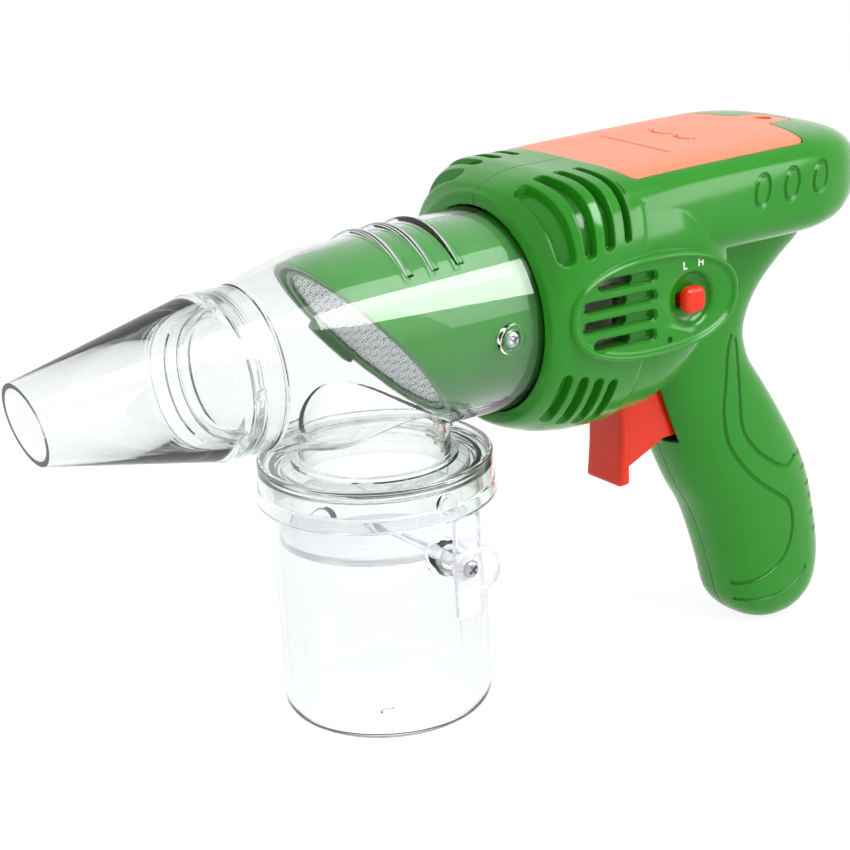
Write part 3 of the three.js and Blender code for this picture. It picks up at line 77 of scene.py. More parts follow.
# Sections of the barrel's bodies, front to rear, as shares: place, half width, middle, above, below,
# and how square the upper and the lower half are
HOOD_SHARES = [
    (0, 0.912, 0, 1.058, 0.693, 2, 2),
    (0.006, 0.924, 0, 1.072, 0.702, 2, 2),
    (0.022, 0.936, 0, 1.086, 0.711, 2.1, 2),
    (0.08, 0.965, 0.15, 1.099, 0.763, 2.6, 2.03),
    (0.19, 0.985, 0.45, 1.079, 0.841, 3.2, 2.1),
    (0.325, 1, 0.75, 1.044, 0.918, 4, 2.2),
    (0.54, 0.997, 1, 1.003, 0.983, 5, 2.3),
    (0.8, 0.985, 1, 0.997, 0.998, 5, 2.3),
    (0.978, 0.975, 1, 0.997, 1, 5, 2.3),
    (0.994, 0.968, 1, 0.987, 0.994, 5, 2.3),
    (1, 0.95, 1, 0.965, 0.98, 5, 2.3),
]
WAIST_SHARES = [
    (0, 1, 1, 1, 1, 5, 2.3),
    (0.37, 0.992, 1, 0.961, 0.988, 5, 2.3),
    (0.54, 0.979, 1, 0.9, 0.938, 4.5, 2.3),
    (0.685, 0.953, 1, 0.84, 0.837, 4, 2.3),
    (0.81, 0.905, 1, 0.72, 0.671, 3.4, 2.2),
    (0.915, 0.826, 1, 0.54, 0.457, 2.8, 2.1),
    (1, 0.684, 1, 0.3, 0.233, 2.4, 2),
    (1.03, 0.3, 1, 0.12, 0.1, 2.2, 2),
]
BOX_SHARES = [
    (0, 1, 1, 0.98, 0.944, 5, 4),
    (0.22, 0.992, 1, 1, 0.967, 5, 4),
    (0.48, 0.981, 1, 1, 0.989, 5, 4),
    (0.7, 0.97, 1, 0.982, 1, 5, 4),
    (0.8, 0.916, 1, 0.947, 0.978, 4.4, 3.6),
    (0.877, 0.802, 1, 0.864, 0.911, 3.6, 3),
    (0.938, 0.64, 1, 0.722, 0.778, 3, 2.6),
    (0.978, 0.444, 1, 0.544, 0.578, 2.5, 2.3),
    (1, 0.217, 1, 0.32, 0.311, 2.1, 2.1),
    (1.005, 0.06, 1, 0.1, 0.1, 2, 2),
]
# Levels of the grip from its top down, as shares: place, front, back, half width and squareness
GRIP_SHARES = [
    (0, 0, 0.933, 0.988, 2.6),
    (0.054, 0.022, 0.894, 0.988, 2.6),
    (0.101, 0.033, 0.783, 0.988, 2.6),
    (0.148, 0.044, 0.678, 0.988, 2.6),
    (0.2, 0.056, 0.607, 0.977, 2.6),
    (0.262, 0.072, 0.571, 0.965, 2.6),
    (0.315, 0.094, 0.589, 0.965, 2.6),
    (0.396, 0.139, 0.673, 0.977, 2.6),
    (0.47, 0.189, 0.753, 0.988, 2.6),
    (0.617, 0.3, 0.889, 1, 2.6),
    (0.698, 0.378, 0.931, 0.988, 2.6),
    (0.86, 0.473, 0.969, 0.977, 2.6),
    (0.92, 0.5, 0.953, 0.953, 2.6),
    (0.96, 0.54, 0.911, 0.872, 2.5),
    (0.987, 0.596, 0.849, 0.698, 2.4),
    (1, 0.656, 0.778, 0.442, 2.2),
]

# Lines pressed into either side of the grip, as places along and above the barrel's axis
GRIP_LINES = {
    "side": [
        (134.4, -25), (132.2, -30), (130.8, -41.9), (129.8, -50.5), (131.6, -61.7), (137.1, -71),
        (145, -79.6), (152.2, -85.2), (159.4, -90.8), (161.9, -97.1), (161.4, -104.6), (158.1, -111.2),
        (151.3, -116.2), (142.6, -119), (133.8, -118.2), (127.5, -114.9),
    ],
    "upper": [
        (136.4, -26.5), (137.2, -31.8), (137.2, -48.7), (138.5, -59.8), (145, -68.7), (153.1, -75.1),
        (159.3, -77.8), (165.1, -75.6),
    ],
    "foot": [
        (169.5, -118.5), (165.5, -121.8), (157.2, -125.2), (147.4, -126.1), (135.5, -124.8), (129.4, -121.1),
    ],
}
DOOR_LABEL = [(86.8, 17.6), (106.9, 16.9), (105.8, -18.1)]
THUMB_MARKS = [(124.2, -5.1), (124.6, 7.1)]
REAR_RINGS = [129, 142, 155]
# Places of the screw posts: in the barrel as shares of the box's rear and the hood's height above its
# middle, in the grip as shares of its depth and height
BARREL_POST_SHARES = [(0.318, -1.085), (0.368, 1.05), (0.705, -0.262), (0.93, 0.64)]
GRIP_POST_SHARES = [(0.6, 0.497), (0.722, 0.88)]
NOTCH_SHARES = (0.59, 0.63, 0.67, 0.71, 0.75, 0.79)
UPPER_LOUVRE_SHARES = [1.25, 1.05, 1, 0.7]
SLOT_SHARES = [(-0.686, 0.585), (-0.852, 0.207), (-0.858, -0.171), (-0.722, -0.549)]


def sizes(**lengths):
    """Named lengths, given in millimetres"""
    return SimpleNamespace(**{name: value * MM for name, value in lengths.items()})


def length(name, default, description):
    """A length property, its default given in millimetres"""
    return bpy.props.FloatProperty(
        name=name, description=description, default=default * MM, unit="LENGTH", precision=5
    )


def strength(name, default, description):
    return bpy.props.FloatProperty(name=name, description=description, default=default, min=0)


def colour(name, default, description):
    return bpy.props.FloatVectorProperty(
        name=name, description=description, default=default, subtype="COLOR", size=4, min=0, max=1
    )


class BodySizes(bpy.types.PropertyGroup):
    """Sizes of the green body"""

    hood_front: length("Hood front", 42, "Where the hood starts along the barrel")
    hood_rear: length("Hood rear", 79, "Where the hood ends along the barrel")
    hood_half_width: length("Hood half width", 39.8, "From the middle to the side of the hood")
    hood_above: length("Hood above", 34.3, "From the middle of the hood to its top")
    hood_below: length("Hood below", 52.3, "From the middle of the hood to its underside")
    middle: length("Middle", 8, "Height of the hood's middle above the axis")
    overlap: length("Overlap", 6, "How far the rear bodies reach into the hood")
    waist_rear: length("Waist rear", 122, "Where the waist ends along the barrel")
    waist_step: length("Waist step", 1.8, "How far the waist stands in from the hood's side")
    waist_above: length("Waist above", 33.3, "From the waist's middle to its top")
    waist_below: length("Waist below", 51.4, "From the waist's middle to its underside")
    box_rear: length("Box rear", 190.2, "Where the battery box ends along the barrel")
    box_step: length("Box step", 2.9, "How far the box stands in from the hood's side")
    box_above: length("Box above", 16.9, "From the box's middle to its top")
    box_below: length("Box below", 18, "From the box's middle to its underside")
    box_middle: length("Box middle", 25, "Height of the box's middle above the axis")
    grip_top: length("Grip top", 12, "Height of the grip's hidden top above the axis")
    grip_height: length("Grip height", 149, "Height of the grip")
    grip_front: length("Grip front", 96, "Front of the grip's top along the barrel")
    grip_depth: length("Grip depth", 90, "Reach of the grip from front to back")
    grip_half_width: length("Grip half width", 17.2, "Half the thickness of the grip")
    wall: length("Wall", 2.6, "Thickness of the shells")
    louvre_width: length("Louvre width", 4.2, "Width of the hood's louvres")
    louvre_depth: length("Louvre depth", 3.2, "Depth of the hood's louvres")
    panel_half_length: length("Panel half length", 33.8, "Half the length of the oval panel")
    panel_half_height: length("Panel half height", 16.4, "Half the height of the oval panel")
    door_thickness: length("Door thickness", 2.4, "Thickness of the battery door")


class ClearSizes(bpy.types.PropertyGroup):
    """Sizes of the clear front pieces"""

    wall: length("Wall", 1.7, "Thickness of the chamber's wall")
    front: length("Front", -44.5, "Where the chamber starts along the barrel")
    front_radius: length("Front radius", 25, "Radius of the chamber's front")
    shoulder: length("Shoulder", -20, "Where the chamber's taper changes")
    shoulder_radius: length("Shoulder radius", 30.6, "Radius where the taper changes")
    rear: length("Rear", 50, "Where the chamber ends along the barrel")
    rear_radius: length("Rear radius", 32.8, "Radius of the chamber's rear")
    spigot: length("Spigot", 10, "Length of the spigot for the nozzle")
    inlet_radius: length("Inlet radius", 17.8, "Radius of the opening in the spigot's ring")
    neck_radius: length("Neck radius", 23.6, "Radius of the neck down to the jar")
    tip: length("Tip", -114, "Where the nozzle's mouth is along the barrel")
    tip_radius: length("Tip radius", 12.4, "Radius of the nozzle's mouth")
    base_radius: length("Base radius", 24.3, "Radius of the cone's base")
    band_radius: length("Band radius", 25, "Radius of the nozzle's rear band")
    nozzle_wall: length("Nozzle wall", 1.6, "Thickness of the nozzle's wall")
    mesh_pitch: length("Mesh pitch", 1.7, "Distance between the wires of the mesh")
    wire: length("Wire", 0.25, "Radius of the mesh's wire")


class JarSizes(bpy.types.PropertyGroup):
    """Sizes of the catch jar, its trap door and its collar"""

    radius: length("Radius", 33, "Outer radius of the jar")
    wall: length("Wall", 1.7, "Thickness of the jar's wall")
    height: length("Height", 79.2, "Height of the jar")
    floor: length("Floor", 2.2, "Thickness of the jar's floor")
    edge: length("Edge", 5, "Radius of the jar's lower edge")
    axle_height: length("Axle height", 59, "Height of the trap door's axle")
    boss_reach: length("Boss reach", 11.5, "How far the near boss stands out of the jar")
    plate: length("Plate", 2.4, "Thickness of the collar's plate")


class Finishes(bpy.types.PropertyGroup):
    """Colours of the plastics and metals"""

    green: colour("Green", (0.016, 0.225, 0.008, 1), "Body")
    duct: colour("Duct", (0.01, 0.15, 0.006, 1), "Duct and the ring of its mesh")
    rim_green: colour("Sheen", (0.62, 0.95, 0.25, 1), "Sheen of the green plastic")
    orange: colour("Orange", (0.96, 0.22, 0.1, 1), "Battery door")
    red: colour("Red", (0.72, 0.024, 0.002, 1), "Trigger and knob")
    clear: colour("Clear", (0.985, 0.995, 0.99, 1), "Clear plastic seen head on")
    clear_edge: colour("Clear edge", (0.76, 0.84, 0.82, 1), "Clear plastic seen along its wall")
    lilac: colour("Lilac", (0.95, 0.935, 0.975, 1), "Trap door and lever")
    lilac_edge: colour("Lilac edge", (0.74, 0.7, 0.8, 1), "Trap door and lever seen along their walls")
    steel: colour("Steel", (0.78, 0.79, 0.81, 1), "Mesh, motor, contacts and trigger pin")
    screw: colour("Screw", (0.46, 0.47, 0.49, 1), "Screws")
    copper: colour("Copper", (0.66, 0.4, 0.27, 1), "Collar pin")
    ivory: colour("Ivory", (0.72, 0.69, 0.6, 1), "Fan and motor mount")
    dark: colour("Dark", (0.02, 0.02, 0.022, 1), "Battery tray and switches")
    cell: colour("Cell", (0.04, 0.09, 0.17, 1), "Battery sleeves")


class StudioSettings(bpy.types.PropertyGroup):
    """Light and floor of the studio"""

    world: strength("World", 0.6, "Strength of the even light")
    key: strength("Key", 8, "Power of the lamp overhead")
    window: strength("Window", 5, "Power of the lamp on the right")
    fill: strength("Fill", 3, "Power of the lamp on the left")
    softbox: strength("Softbox", 16, "Glow of the mirrored softbox")
    side_box: strength("Side box", 7, "Glow of the mirrored side box")
    floor: length("Floor", 3000, "Half the width of the floor")


# Places: pieces are drawn from the centre of the jar's base and then stood as the solid model stands

def stance():
    joint = next(one for one in frame["joints"] if one["name"] == "jar_twist")
    up = Vector(joint["axis"]).normalized()
    along = Vector((0, 1, 0)).cross(up)
    turn = Matrix((along, Vector((0, 1, 0)), up)).transposed().to_4x4()
    return Matrix.Translation(Vector(joint["pos_m"]) - up * JAR_TWIST_HEIGHT) @ turn


STANCE = stance()
ON_AXIS = Matrix.Translation((0, 0, AXIS_HEIGHT))


# Modelling steps

def only(obj):
    bpy.ops.object.select_all(action="DESELECT")
    obj.select_set(True)
    bpy.context.view_layer.objects.active = obj


def edit_all(obj):
    only(obj)
    bpy.ops.object.mode_set(mode="EDIT")
    bpy.ops.mesh.select_all(action="SELECT")


def leave_edit():
    bpy.ops.object.mode_set(mode="OBJECT")


def named(name):
    obj = bpy.context.object
    obj.name = name
    obj.data.name = name
    return obj


def outlined(name, points, fill="NGON"):
    """A circle whose corners are moved onto the points"""
    bpy.ops.object.select_all(action="DESELECT")
    bpy.ops.mesh.primitive_circle_add(vertices=len(points), fill_type=fill)
    obj = named(name)
    for vertex, point in zip(obj.data.vertices, points):
        vertex.co = point
    return obj


def cleaned(obj, tolerance=WELD):
    """Expects edit mode with all selected, and leaves it"""
    bpy.ops.mesh.remove_doubles(threshold=tolerance)
    bpy.ops.mesh.dissolve_degenerate(threshold=tolerance)
    bpy.ops.mesh.select_all(action="SELECT")
    bpy.ops.mesh.normals_make_consistent(inside=False)
    leave_edit()
    return obj


def rolled(name, rings):
    """A grid rolled up into a tube through the rings, with filled ends"""
    rows, columns = len(rings), len(rings[0])
    bpy.ops.object.select_all(action="DESELECT")
    bpy.ops.mesh.primitive_grid_add(x_subdivisions=columns, y_subdivisions=rows - 1)
    obj = named(name)
    flat = []
    for ring in rings:
        for point in [*ring, ring[0]]:
            flat.extend(point)
    obj.data.vertices.foreach_set("co", flat)
    obj.data.update()
    edit_all(obj)
    bpy.ops.mesh.remove_doubles(threshold=FINE_WELD)
    bpy.ops.mesh.select_all(action="SELECT")
    bpy.ops.mesh.fill_holes(sides=0)
    bpy.ops.mesh.select_all(action="SELECT")
    return cleaned(obj, FINE_WELD)


def prism(name, outline, axis, low, high):
    """An outline drawn out along an axis between two places"""
    order = {"X": (2, 0, 1), "Y": (0, 2, 1), "Z": (0, 1, 2)}[axis]
    points = []
    for pair in outline:
        triple = (*pair, low)
        points.append(tuple(triple[order[i]] for i in range(3)))
    step = [0, 0, 0]
    step["XYZ".index(axis)] = high - low
    obj = outlined(name, points)
    edit_all(obj)
    bpy.ops.mesh.extrude_region_move(TRANSFORM_OT_translate={"value": step})
    bpy.ops.mesh.select_all(action="SELECT")
    return cleaned(obj)


def block(name, x0, x1, y0, y1, z0, z1):
    bpy.ops.object.select_all(action="DESELECT")
    bpy.ops.mesh.primitive_cube_add(size=1)
    obj = named(name)
    size = Matrix.Diagonal((x1 - x0, y1 - y0, z1 - z0, 1))
    obj.data.transform(Matrix.Translation(((x0 + x1) / 2, (y0 + y1) / 2, (z0 + z1) / 2)) @ size)
    return obj


def circle(radius, count, first=0, second=0):
    turns = [2 * math.pi * i / count for i in range(count)]
    return [(first + radius * math.cos(turn), second + radius * math.sin(turn)) for turn in turns]


def bar(name, axis, low, high, radius, first, second, count=48):
    """A round bar along an axis, through a place in the other two"""
    return prism(name, circle(radius, count, first, second), axis, low, high)


def rounded(outline, radius, steps=4):
    """The outline with each corner replaced by an arc"""
    result = []
    count = len(outline)
    for i, corner in enumerate(outline):
        here = Vector(corner)
        back = Vector(outline[i - 1]) - here
        ahead = Vector(outline[(i + 1) % count]) - here
        on_axis = abs(here.y) < TINY
        reach = min(radius, back.length * CORNER_SHARE, ahead.length * CORNER_SHARE)
        if on_axis or back.angle(ahead, 0) > NEARLY_STRAIGHT:
            result.append(tuple(here))
            continue
        start, end = here + back.normalized() * reach, here + ahead.normalized() * reach
        for step in range(steps + 1):
            t = step / steps
            result.append(tuple(start * (1 - t) ** 2 + here * 2 * t * (1 - t) + end * t ** 2))
    return result


def turned(name, outline, axis, count=ROUND):
    """A closed outline of place and radius spun about an axis"""
    place = {"X": lambda a, r: (a, 0, r), "Y": lambda a, r: (0, a, r), "Z": lambda a, r: (r, 0, a)}[axis]
    obj = outlined(name, [place(a, r) for a, r in outline], "NOTHING")
    edit_all(obj)
    turn = {"X": (1, 0, 0), "Y": (0, 1, 0), "Z": (0, 0, 1)}[axis]
    bpy.ops.mesh.spin(steps=count, angle=2 * math.pi, center=(0, 0, 0), axis=turn)
    bpy.ops.mesh.select_all(action="SELECT")
    return cleaned(obj)


def combine(obj, tool, operation):
    only(obj)
    step = obj.modifiers.new("step", "BOOLEAN")
    step.operation = operation
    step.solver = "MANIFOLD"
    step.object = tool
    bpy.ops.object.modifier_apply(modifier=step.name)
    bpy.data.objects.remove(tool)
    return obj


def join(obj, *tools):
    for tool in tools:
        combine(obj, tool, "UNION")
    return obj


def cut(obj, *tools):
    for tool in tools:
        combine(obj, tool, "DIFFERENCE")
    return obj


def common(obj, tool):
    return combine(obj, tool, "INTERSECT")


def copied(obj, name):
    twin = obj.copy()
    twin.data = obj.data.copy()
    twin.name = name
    bpy.context.collection.objects.link(twin)
    return twin


def swapped(obj):
    """The same piece, moved to the other side of the middle plane"""
    obj.data.transform(Matrix.Scale(-1, 4, (0, 1, 0)))
    edit_all(obj)
    bpy.ops.mesh.normals_make_consistent(inside=False)
    leave_edit()
    return obj


def mirrored(obj):
    """A copy on the other side of the middle plane"""
    return swapped(copied(obj, obj.name + "_far"))


def bevelled(obj, width, segments=3, angle=40):
    only(obj)
    step = obj.modifiers.new("edge", "BEVEL")
    step.width = width
    step.segments = segments
    step.limit_method = "ANGLE"
    step.angle_limit = math.radians(angle)
    step.use_clamp_overlap = True
    bpy.ops.object.modifier_apply(modifier=step.name)
    return obj


def wires(name, lines, radius, sides, closed=False):
    """Round wires along lines of points, as one mesh"""
    bpy.ops.object.select_all(action="DESELECT")
    bpy.ops.curve.primitive_nurbs_path_add()
    curve = bpy.context.object.data
    curve.splines.clear()
    curve.dimensions = "3D"
    for line in lines:
        spline = curve.splines.new("POLY")
        spline.points.add(len(line) - 1)
        for knot, point in zip(spline.points, line):
            knot.co = (*point, 1)
        spline.use_cyclic_u = closed
    curve.bevel_depth = radius
    curve.bevel_resolution = sides
    curve.use_fill_caps = not closed
    bpy.ops.object.convert(target="MESH")
    return named(name)


def wire_through(name, points, radius, closed=False, sides=2):
    obj = wires(name, [points], radius, sides, closed)
    edit_all(obj)
    return cleaned(obj)


def slopes(column, places):
    """Slopes of a smooth curve through a table's column, without overshoot"""
    steps = [(b - a) / (q - p) for a, b, p, q in zip(column, column[1:], places, places[1:])]
    inner = [2 * a * b / (a + b) if a * b > 0 else 0 for a, b in zip(steps, steps[1:])]
    return [steps[0], *inner, steps[-1]]


def finer(table, reach, count):
    """The table's rows joined by smooth curves and read at even steps"""
    places = [0]
    for a, b in zip(table, table[1:]):
        step = math.hypot((b[0] - a[0]) * reach[0], *[(q - p) * reach[1] for p, q in zip(a[1:5], b[1:5])])
        places.append(places[-1] + max(step, TINY))
    columns = [(column, slopes(column, places)) for column in zip(*table)]
    rows = []
    for k in range(count + 1):
        at = places[-1] * k / count
        i = max(j for j in range(len(places) - 1) if places[j] <= at + TINY)
        span = places[i + 1] - places[i]
        t = (at - places[i]) / span
        row = []
        for column, rise in columns:
            row.append(
                column[i] * (1 + 2 * t) * (1 - t) ** 2 + column[i + 1] * t * t * (3 - 2 * t)
                + rise[i] * span * t * (1 - t) ** 2 - rise[i + 1] * span * t * t * (1 - t)
            )
        rows.append(row)
    return rows


def oval_point(angle, square):
    across, up = math.cos(angle), math.sin(angle)
    reach = 2 / square
    return math.copysign(abs(across) ** reach, across), math.copysign(abs(up) ** reach, up)


def oval(half_length, half_height, square, count=96):
    points = [oval_point(2 * math.pi * i / count, square) for i in range(count)]
    return [(u * half_length, v * half_height) for u, v in points]


def even(ring, count):
    """The same closed ring with evenly spaced points"""
    reach = [0]
    for i, point in enumerate(ring):
        reach.append(reach[-1] + math.dist(point, ring[(i + 1) % len(ring)]))
    result = []
    i = 0
    for k in range(count):
        at = reach[-1] * k / count
        while reach[i + 1] < at:
            i += 1
        t = (at - reach[i]) / max(reach[i + 1] - reach[i], TINY)
        a, b = ring[i], ring[(i + 1) % len(ring)]
        result.append(tuple(p + (q - p) * t for p, q in zip(a, b)))
    return result


# The green body

# How many points a section is read at for each one that is kept
READINGS = 4


def barrel_ring(form, share, inset, count):
    along, width, middle, above, below, square_above, square_below = share
    x = form["front"] + along * (form["rear"] - form["front"]) - inset * (1 - width)
    ring = []
    for i in range(count * READINGS):
        angle = 2 * math.pi * i / (count * READINGS)
        upper = math.sin(angle) >= 0
        u, v = oval_point(angle, square_above if upper else square_below)
        reach = (form["above"] * above if upper else form["below"] * below) - inset
        ring.append((x, u * (form["half_width"] * width - inset), form["middle"] * middle + v * reach))
    return even(ring, count)


def grip_ring(share, inset, count, s):
    level, front, back, width, square = share
    x0 = s.grip_front + s.grip_depth * front + inset
    x1 = s.grip_front + s.grip_depth * back - inset
    z = s.grip_top - s.grip_height * level + inset * (1 - width)
    ring = oval((x1 - x0) / 2, s.grip_half_width * width - inset, square, count * READINGS)
    return even([((x0 + x1) / 2 + u, v, z) for u, v in ring], count)


def hood_form(s):
    return {
        "front": s.hood_front, "rear": s.hood_rear, "half_width": s.hood_half_width, "above": s.hood_above,
        "below": s.hood_below, "middle": s.middle,
    }


def waist_form(s):
    return {
        "front": s.hood_rear - s.overlap, "rear": s.waist_rear, "middle": s.middle,
        "half_width": s.hood_half_width - s.waist_step, "above": s.waist_above, "below": s.waist_below,
    }


def box_form(s):
    return {
        "front": s.hood_rear - s.overlap, "rear": s.box_rear, "half_width": s.hood_half_width - s.box_step,
        "above": s.box_above, "below": s.box_below, "middle": s.box_middle,
    }


def barrel_loft(name, form, shares, inset, count, rings):
    table = finer(shares, (form["rear"] - form["front"], form["half_width"]), rings) if rings else shares
    return rolled(name, [barrel_ring(form, share, inset, count) for share in table])


def hood_loft(name, inset, s, count=FINE, rings=48):
    return barrel_loft(name, hood_form(s), HOOD_SHARES, inset, count, rings)


def rear_loft(name, inset, s, count=FINE, rings=56):
    waist = barrel_loft(name, waist_form(s), WAIST_SHARES, inset, count, rings)
    return join(waist, barrel_loft(name + "_box", box_form(s), BOX_SHARES, inset, count, rings))


def grip_loft(name, inset, s, count=FINE, rings=90):
    table = finer(GRIP_SHARES, (s.grip_height, s.grip_depth), rings) if rings else GRIP_SHARES
    return rolled(name, [grip_ring(share, inset, count, s) for share in table])


def body_loft(name, inset, s, count=FINE, rings=56):
    whole = rear_loft(name, inset, s, count, rings)
    hood = hood_loft(name + "_hood", inset, s, count, rings)
    return join(whole, hood, grip_loft(name + "_grip", inset, s, count, rings))


PANEL = sizes(x=80.8, z=1, proud=0.6, set_in=0.8)
PANEL_TILT = math.radians(2.4)
PANEL_SQUARE = 2.3
# Levels and insets of the panel's rim, from inside the hood out to the face, in millimetres
PANEL_RIM = [
    (-9, 0), (-1.6, 0), (-0.7, 0.08), (-0.1, 0.3), (0.25, 0.7), (0.35, 1.15), (0.25, 1.6), (-0.1, 1.95),
    (-0.5, 2.15), (-0.75, 2.5), (-0.8, 3.2),
]
DISH_SHARE = (0.432, -0.049)
HOLE_SHARE = (0.154, -0.744)
# Depths below the panel's face and radii of the dish round the knob, in millimetres
DISH_OUTLINE = [
    (-4, 0), (-4, 9.9), (0.6, 9.6), (0.9, 9.1), (1.4, 8.6), (2.2, 8.2), (2.8, 7.6), (3.1, 6.6), (3.1, 0),
]
KNOB_SLOT = sizes(half_length=4.9, half_height=2.3, depth=9)
PANEL_HOLE = sizes(radius=1.1, depth=1.8)
SLOT = sizes(height=3.4, floor_depth=3.4, open_depth=9, lead_height=4.2, lead_spread=0.5, lead_depth=1.5)
SLOT_OPEN_SHARE = 0.34


def panel_face(s):
    return s.hood_half_width + PANEL.proud


def on_panel(obj):
    turn = Matrix.Rotation(PANEL_TILT, 4, "Y")
    obj.data.transform(Matrix.Translation((PANEL.x, 0, PANEL.z)) @ turn)
    return obj


def panel_place(s, shares):
    x = PANEL.x + s.panel_half_length * shares[0]
    z = PANEL.z + s.panel_half_height * shares[1]
    return x, z


def panel_pad(name, side, s):
    """A pad with a soft rim round a face that is set in a little"""
    face = panel_face(s)
    rings = []
    for level, inset in PANEL_RIM:
        y = side * (face + level * MM)
        half_length = s.panel_half_length - inset * MM
        half_height = s.panel_half_height - inset * MM
        outline = oval(half_length, half_height, PANEL_SQUARE, ROUND)
        rings.append([(u, y, v) for u, v in outline])
    return on_panel(rolled(name, rings))


def slot_outline(start, end, height, steps=10):
    radius = height / 2
    points = []
    for centre, first in ((end - radius, -math.pi / 2), (start + radius, math.pi / 2)):
        for i in range(steps + 1):
            angle = first + math.pi * i / steps
            points.append((centre + radius * math.cos(angle), radius * math.sin(angle)))
    return points


def panel_slots(side, s):
    """Four slots, open at the front and shallow behind"""
    face = panel_face(s)
    outside = -face - OVERRUN
    tools = []
    for along, up in SLOT_SHARES:
        start = s.panel_half_length * along
        open_part = slot_outline(start, start * SLOT_OPEN_SHARE, SLOT.height)
        lead = slot_outline(start - SLOT.lead_spread, SLOT.lead_spread, SLOT.lead_height)
        closed_part = slot_outline(start, 0, SLOT.height)
        tool = join(
            prism("slot", open_part, "Y", outside, SLOT.open_depth - face),
            prism("slot_lead", lead, "Y", outside, SLOT.lead_depth - face),
            prism("slot_floor", closed_part, "Y", outside, SLOT.floor_depth - face),
        )
        tool.data.transform(Matrix.Translation((0, 0, s.panel_half_height * up)))
        tools.append(on_panel(tool))
    whole = join(*tools)
    return whole if side < 0 else swapped(whole)


def dish_tool(s):
    """The dish, the slot and the small hole of the near panel"""
    face = panel_face(s)
    x, z = panel_place(s, DISH_SHARE)
    dish = turned("dish", [(depth * MM - face, radius * MM) for depth, radius in DISH_OUTLINE], "Y", 72)
    dish.data.transform(Matrix.Translation((x, 0, z)))
    long, tall = KNOB_SLOT.half_length, KNOB_SLOT.half_height
    slot = block("knob_slot", x - long, x + long, -face, KNOB_SLOT.depth - face, z - tall, z + tall)
    hole_place = panel_place(s, HOLE_SHARE)
    hole = bar("pin_hole", "Y", -face - OVERRUN, PANEL_HOLE.depth - face, PANEL_HOLE.radius, *hole_place, 24)
    return join(dish, slot, hole)


# Louvres, screw posts, door opening and trigger room

# Where the first louvres start, and how far the next ones are from each other
UPPER_LOUVRE = sizes(x=48, pitch=7.5, inner=14, level=19.4, step=1.1)
LOWER_LOUVRE = sizes(x=48.3, pitch=6.4, inner=22, level=-14.8, step=-2)
POST = sizes(
    radius=3.6, reach=60, shank=1.45, shank_start=-8, head=2.9, head_start=6, screw_seat=6.3, screw=8
)
RAIL = sizes(front=82.6, rear=149, top=33.5, thickness=1.6, inner=30.6, outer=33.4)
DOOR = sizes(
    front=78.6, neck=152, tab_start=158, tab_end=170, half_width=31.8, tab_half_width=8.4, corner=3,
    screw_x=164, cup_radius=4.3, cup_drop=3, cup_top=1, cup_floor=1.4, well_radius=3.1, screw_hole=1.45,
    screw=3.8,
)
CUP_TOP_SHARE = 0.96
TRIGGER = sizes(
    front=90.4, pad_rear=95.4, rear=121, top=-33, low=-72, pad_low=-70.4, web_front_low=-64.2, web_x=106.4,
    web_low=-60, pivot_x=114.5, pivot_z=-37.5, room=0.6, room_half=9.4, pad_half=8.8, web_half=8, hollow=1.5,
    pad_edge=2.2, web_edge=0.6,
)
# The web's lower edge as it shows, clear of its room
TRIGGER_WEB = sizes(front=93, front_low=-65.4, rear_x=111, low=-58)
TRIGGER_PIN = sizes(half_length=13.8, radius=1.5, hole=1.8, edge=0.2, spring_room=3.7, spring_half=3.4)
TRIGGER_SWING = math.radians(6)
SWEEP_SHARES = (0, 0.5, 1)


def groove(x, half, y, z, up):
    """A cutter with a round inner corner that reaches out to the side and up or down"""
    low, high = (z, FAR) if up else (-FAR, z)
    return [
        block("groove", x - half, x + half, -FAR, y, low, high),
        bar("groove", "Y", -FAR, y, half, x, z, 32),
        bar("groove", "Z", low, high, half, x, y, 32),
    ]


def louvre_tool(s):
    """Grooves with round ends over the shoulders and round the underside of the hood"""
    upper, lower = UPPER_LOUVRE, LOWER_LOUVRE
    tools = []
    for i, share in enumerate(UPPER_LOUVRE_SHARES):
        half = s.louvre_width * share / 2
        level = upper.level + upper.step * i + half
        tools += groove(upper.x + upper.pitch * i, half, -upper.inner - half, level, True)
        half = s.louvre_width / 2
        level = lower.level + lower.step * i - half
        tools += groove(lower.x + lower.pitch * i, half, -lower.inner - half, level, False)
    whole = join(*tools)
    cut(whole, hood_loft("groove_floor", s.louvre_depth, s))
    far = mirrored(whole)
    return join(whole, far)


def post_places(s):
    barrel = [(s.box_rear * along, s.hood_above * up) for along, up in BARREL_POST_SHARES]
    grip = []
    for along, down in GRIP_POST_SHARES:
        grip.append((s.grip_front + s.grip_depth * along, s.grip_top - s.grip_height * down))
    return barrel + grip


def post_bars(name, radius, low, high, s, count=32):
    return join(*[bar(name, "Y", low, high, radius, x, z, count) for x, z in post_places(s)])


def door_outline(margin):
    """The door from above, with the tab of its screw at the rear"""
    wide, narrow = DOOR.half_width + margin, DOOR.tab_half_width + margin
    half = [
        (DOOR.front - margin, wide), (DOOR.neck + margin, wide), (DOOR.tab_start + margin, narrow),
        (DOOR.tab_end + margin, narrow),
    ]
    whole = half + [(x, -y) for x, y in reversed(half)]
    return rounded(whole, DOOR.corner, 5)


def door_tool(margin, s):
    return prism("door_opening", door_outline(margin), "Z", s.box_middle, FAR)


def tray_rails():
    """The ledges along both sides that the door rests on"""
    rails = []
    for side in (-1, 1):
        y = sorted((side * RAIL.inner, side * RAIL.outer))
        rails.append(block("rail", RAIL.front, RAIL.rear, *y, RAIL.top - RAIL.thickness, RAIL.top))
    return join(*rails)


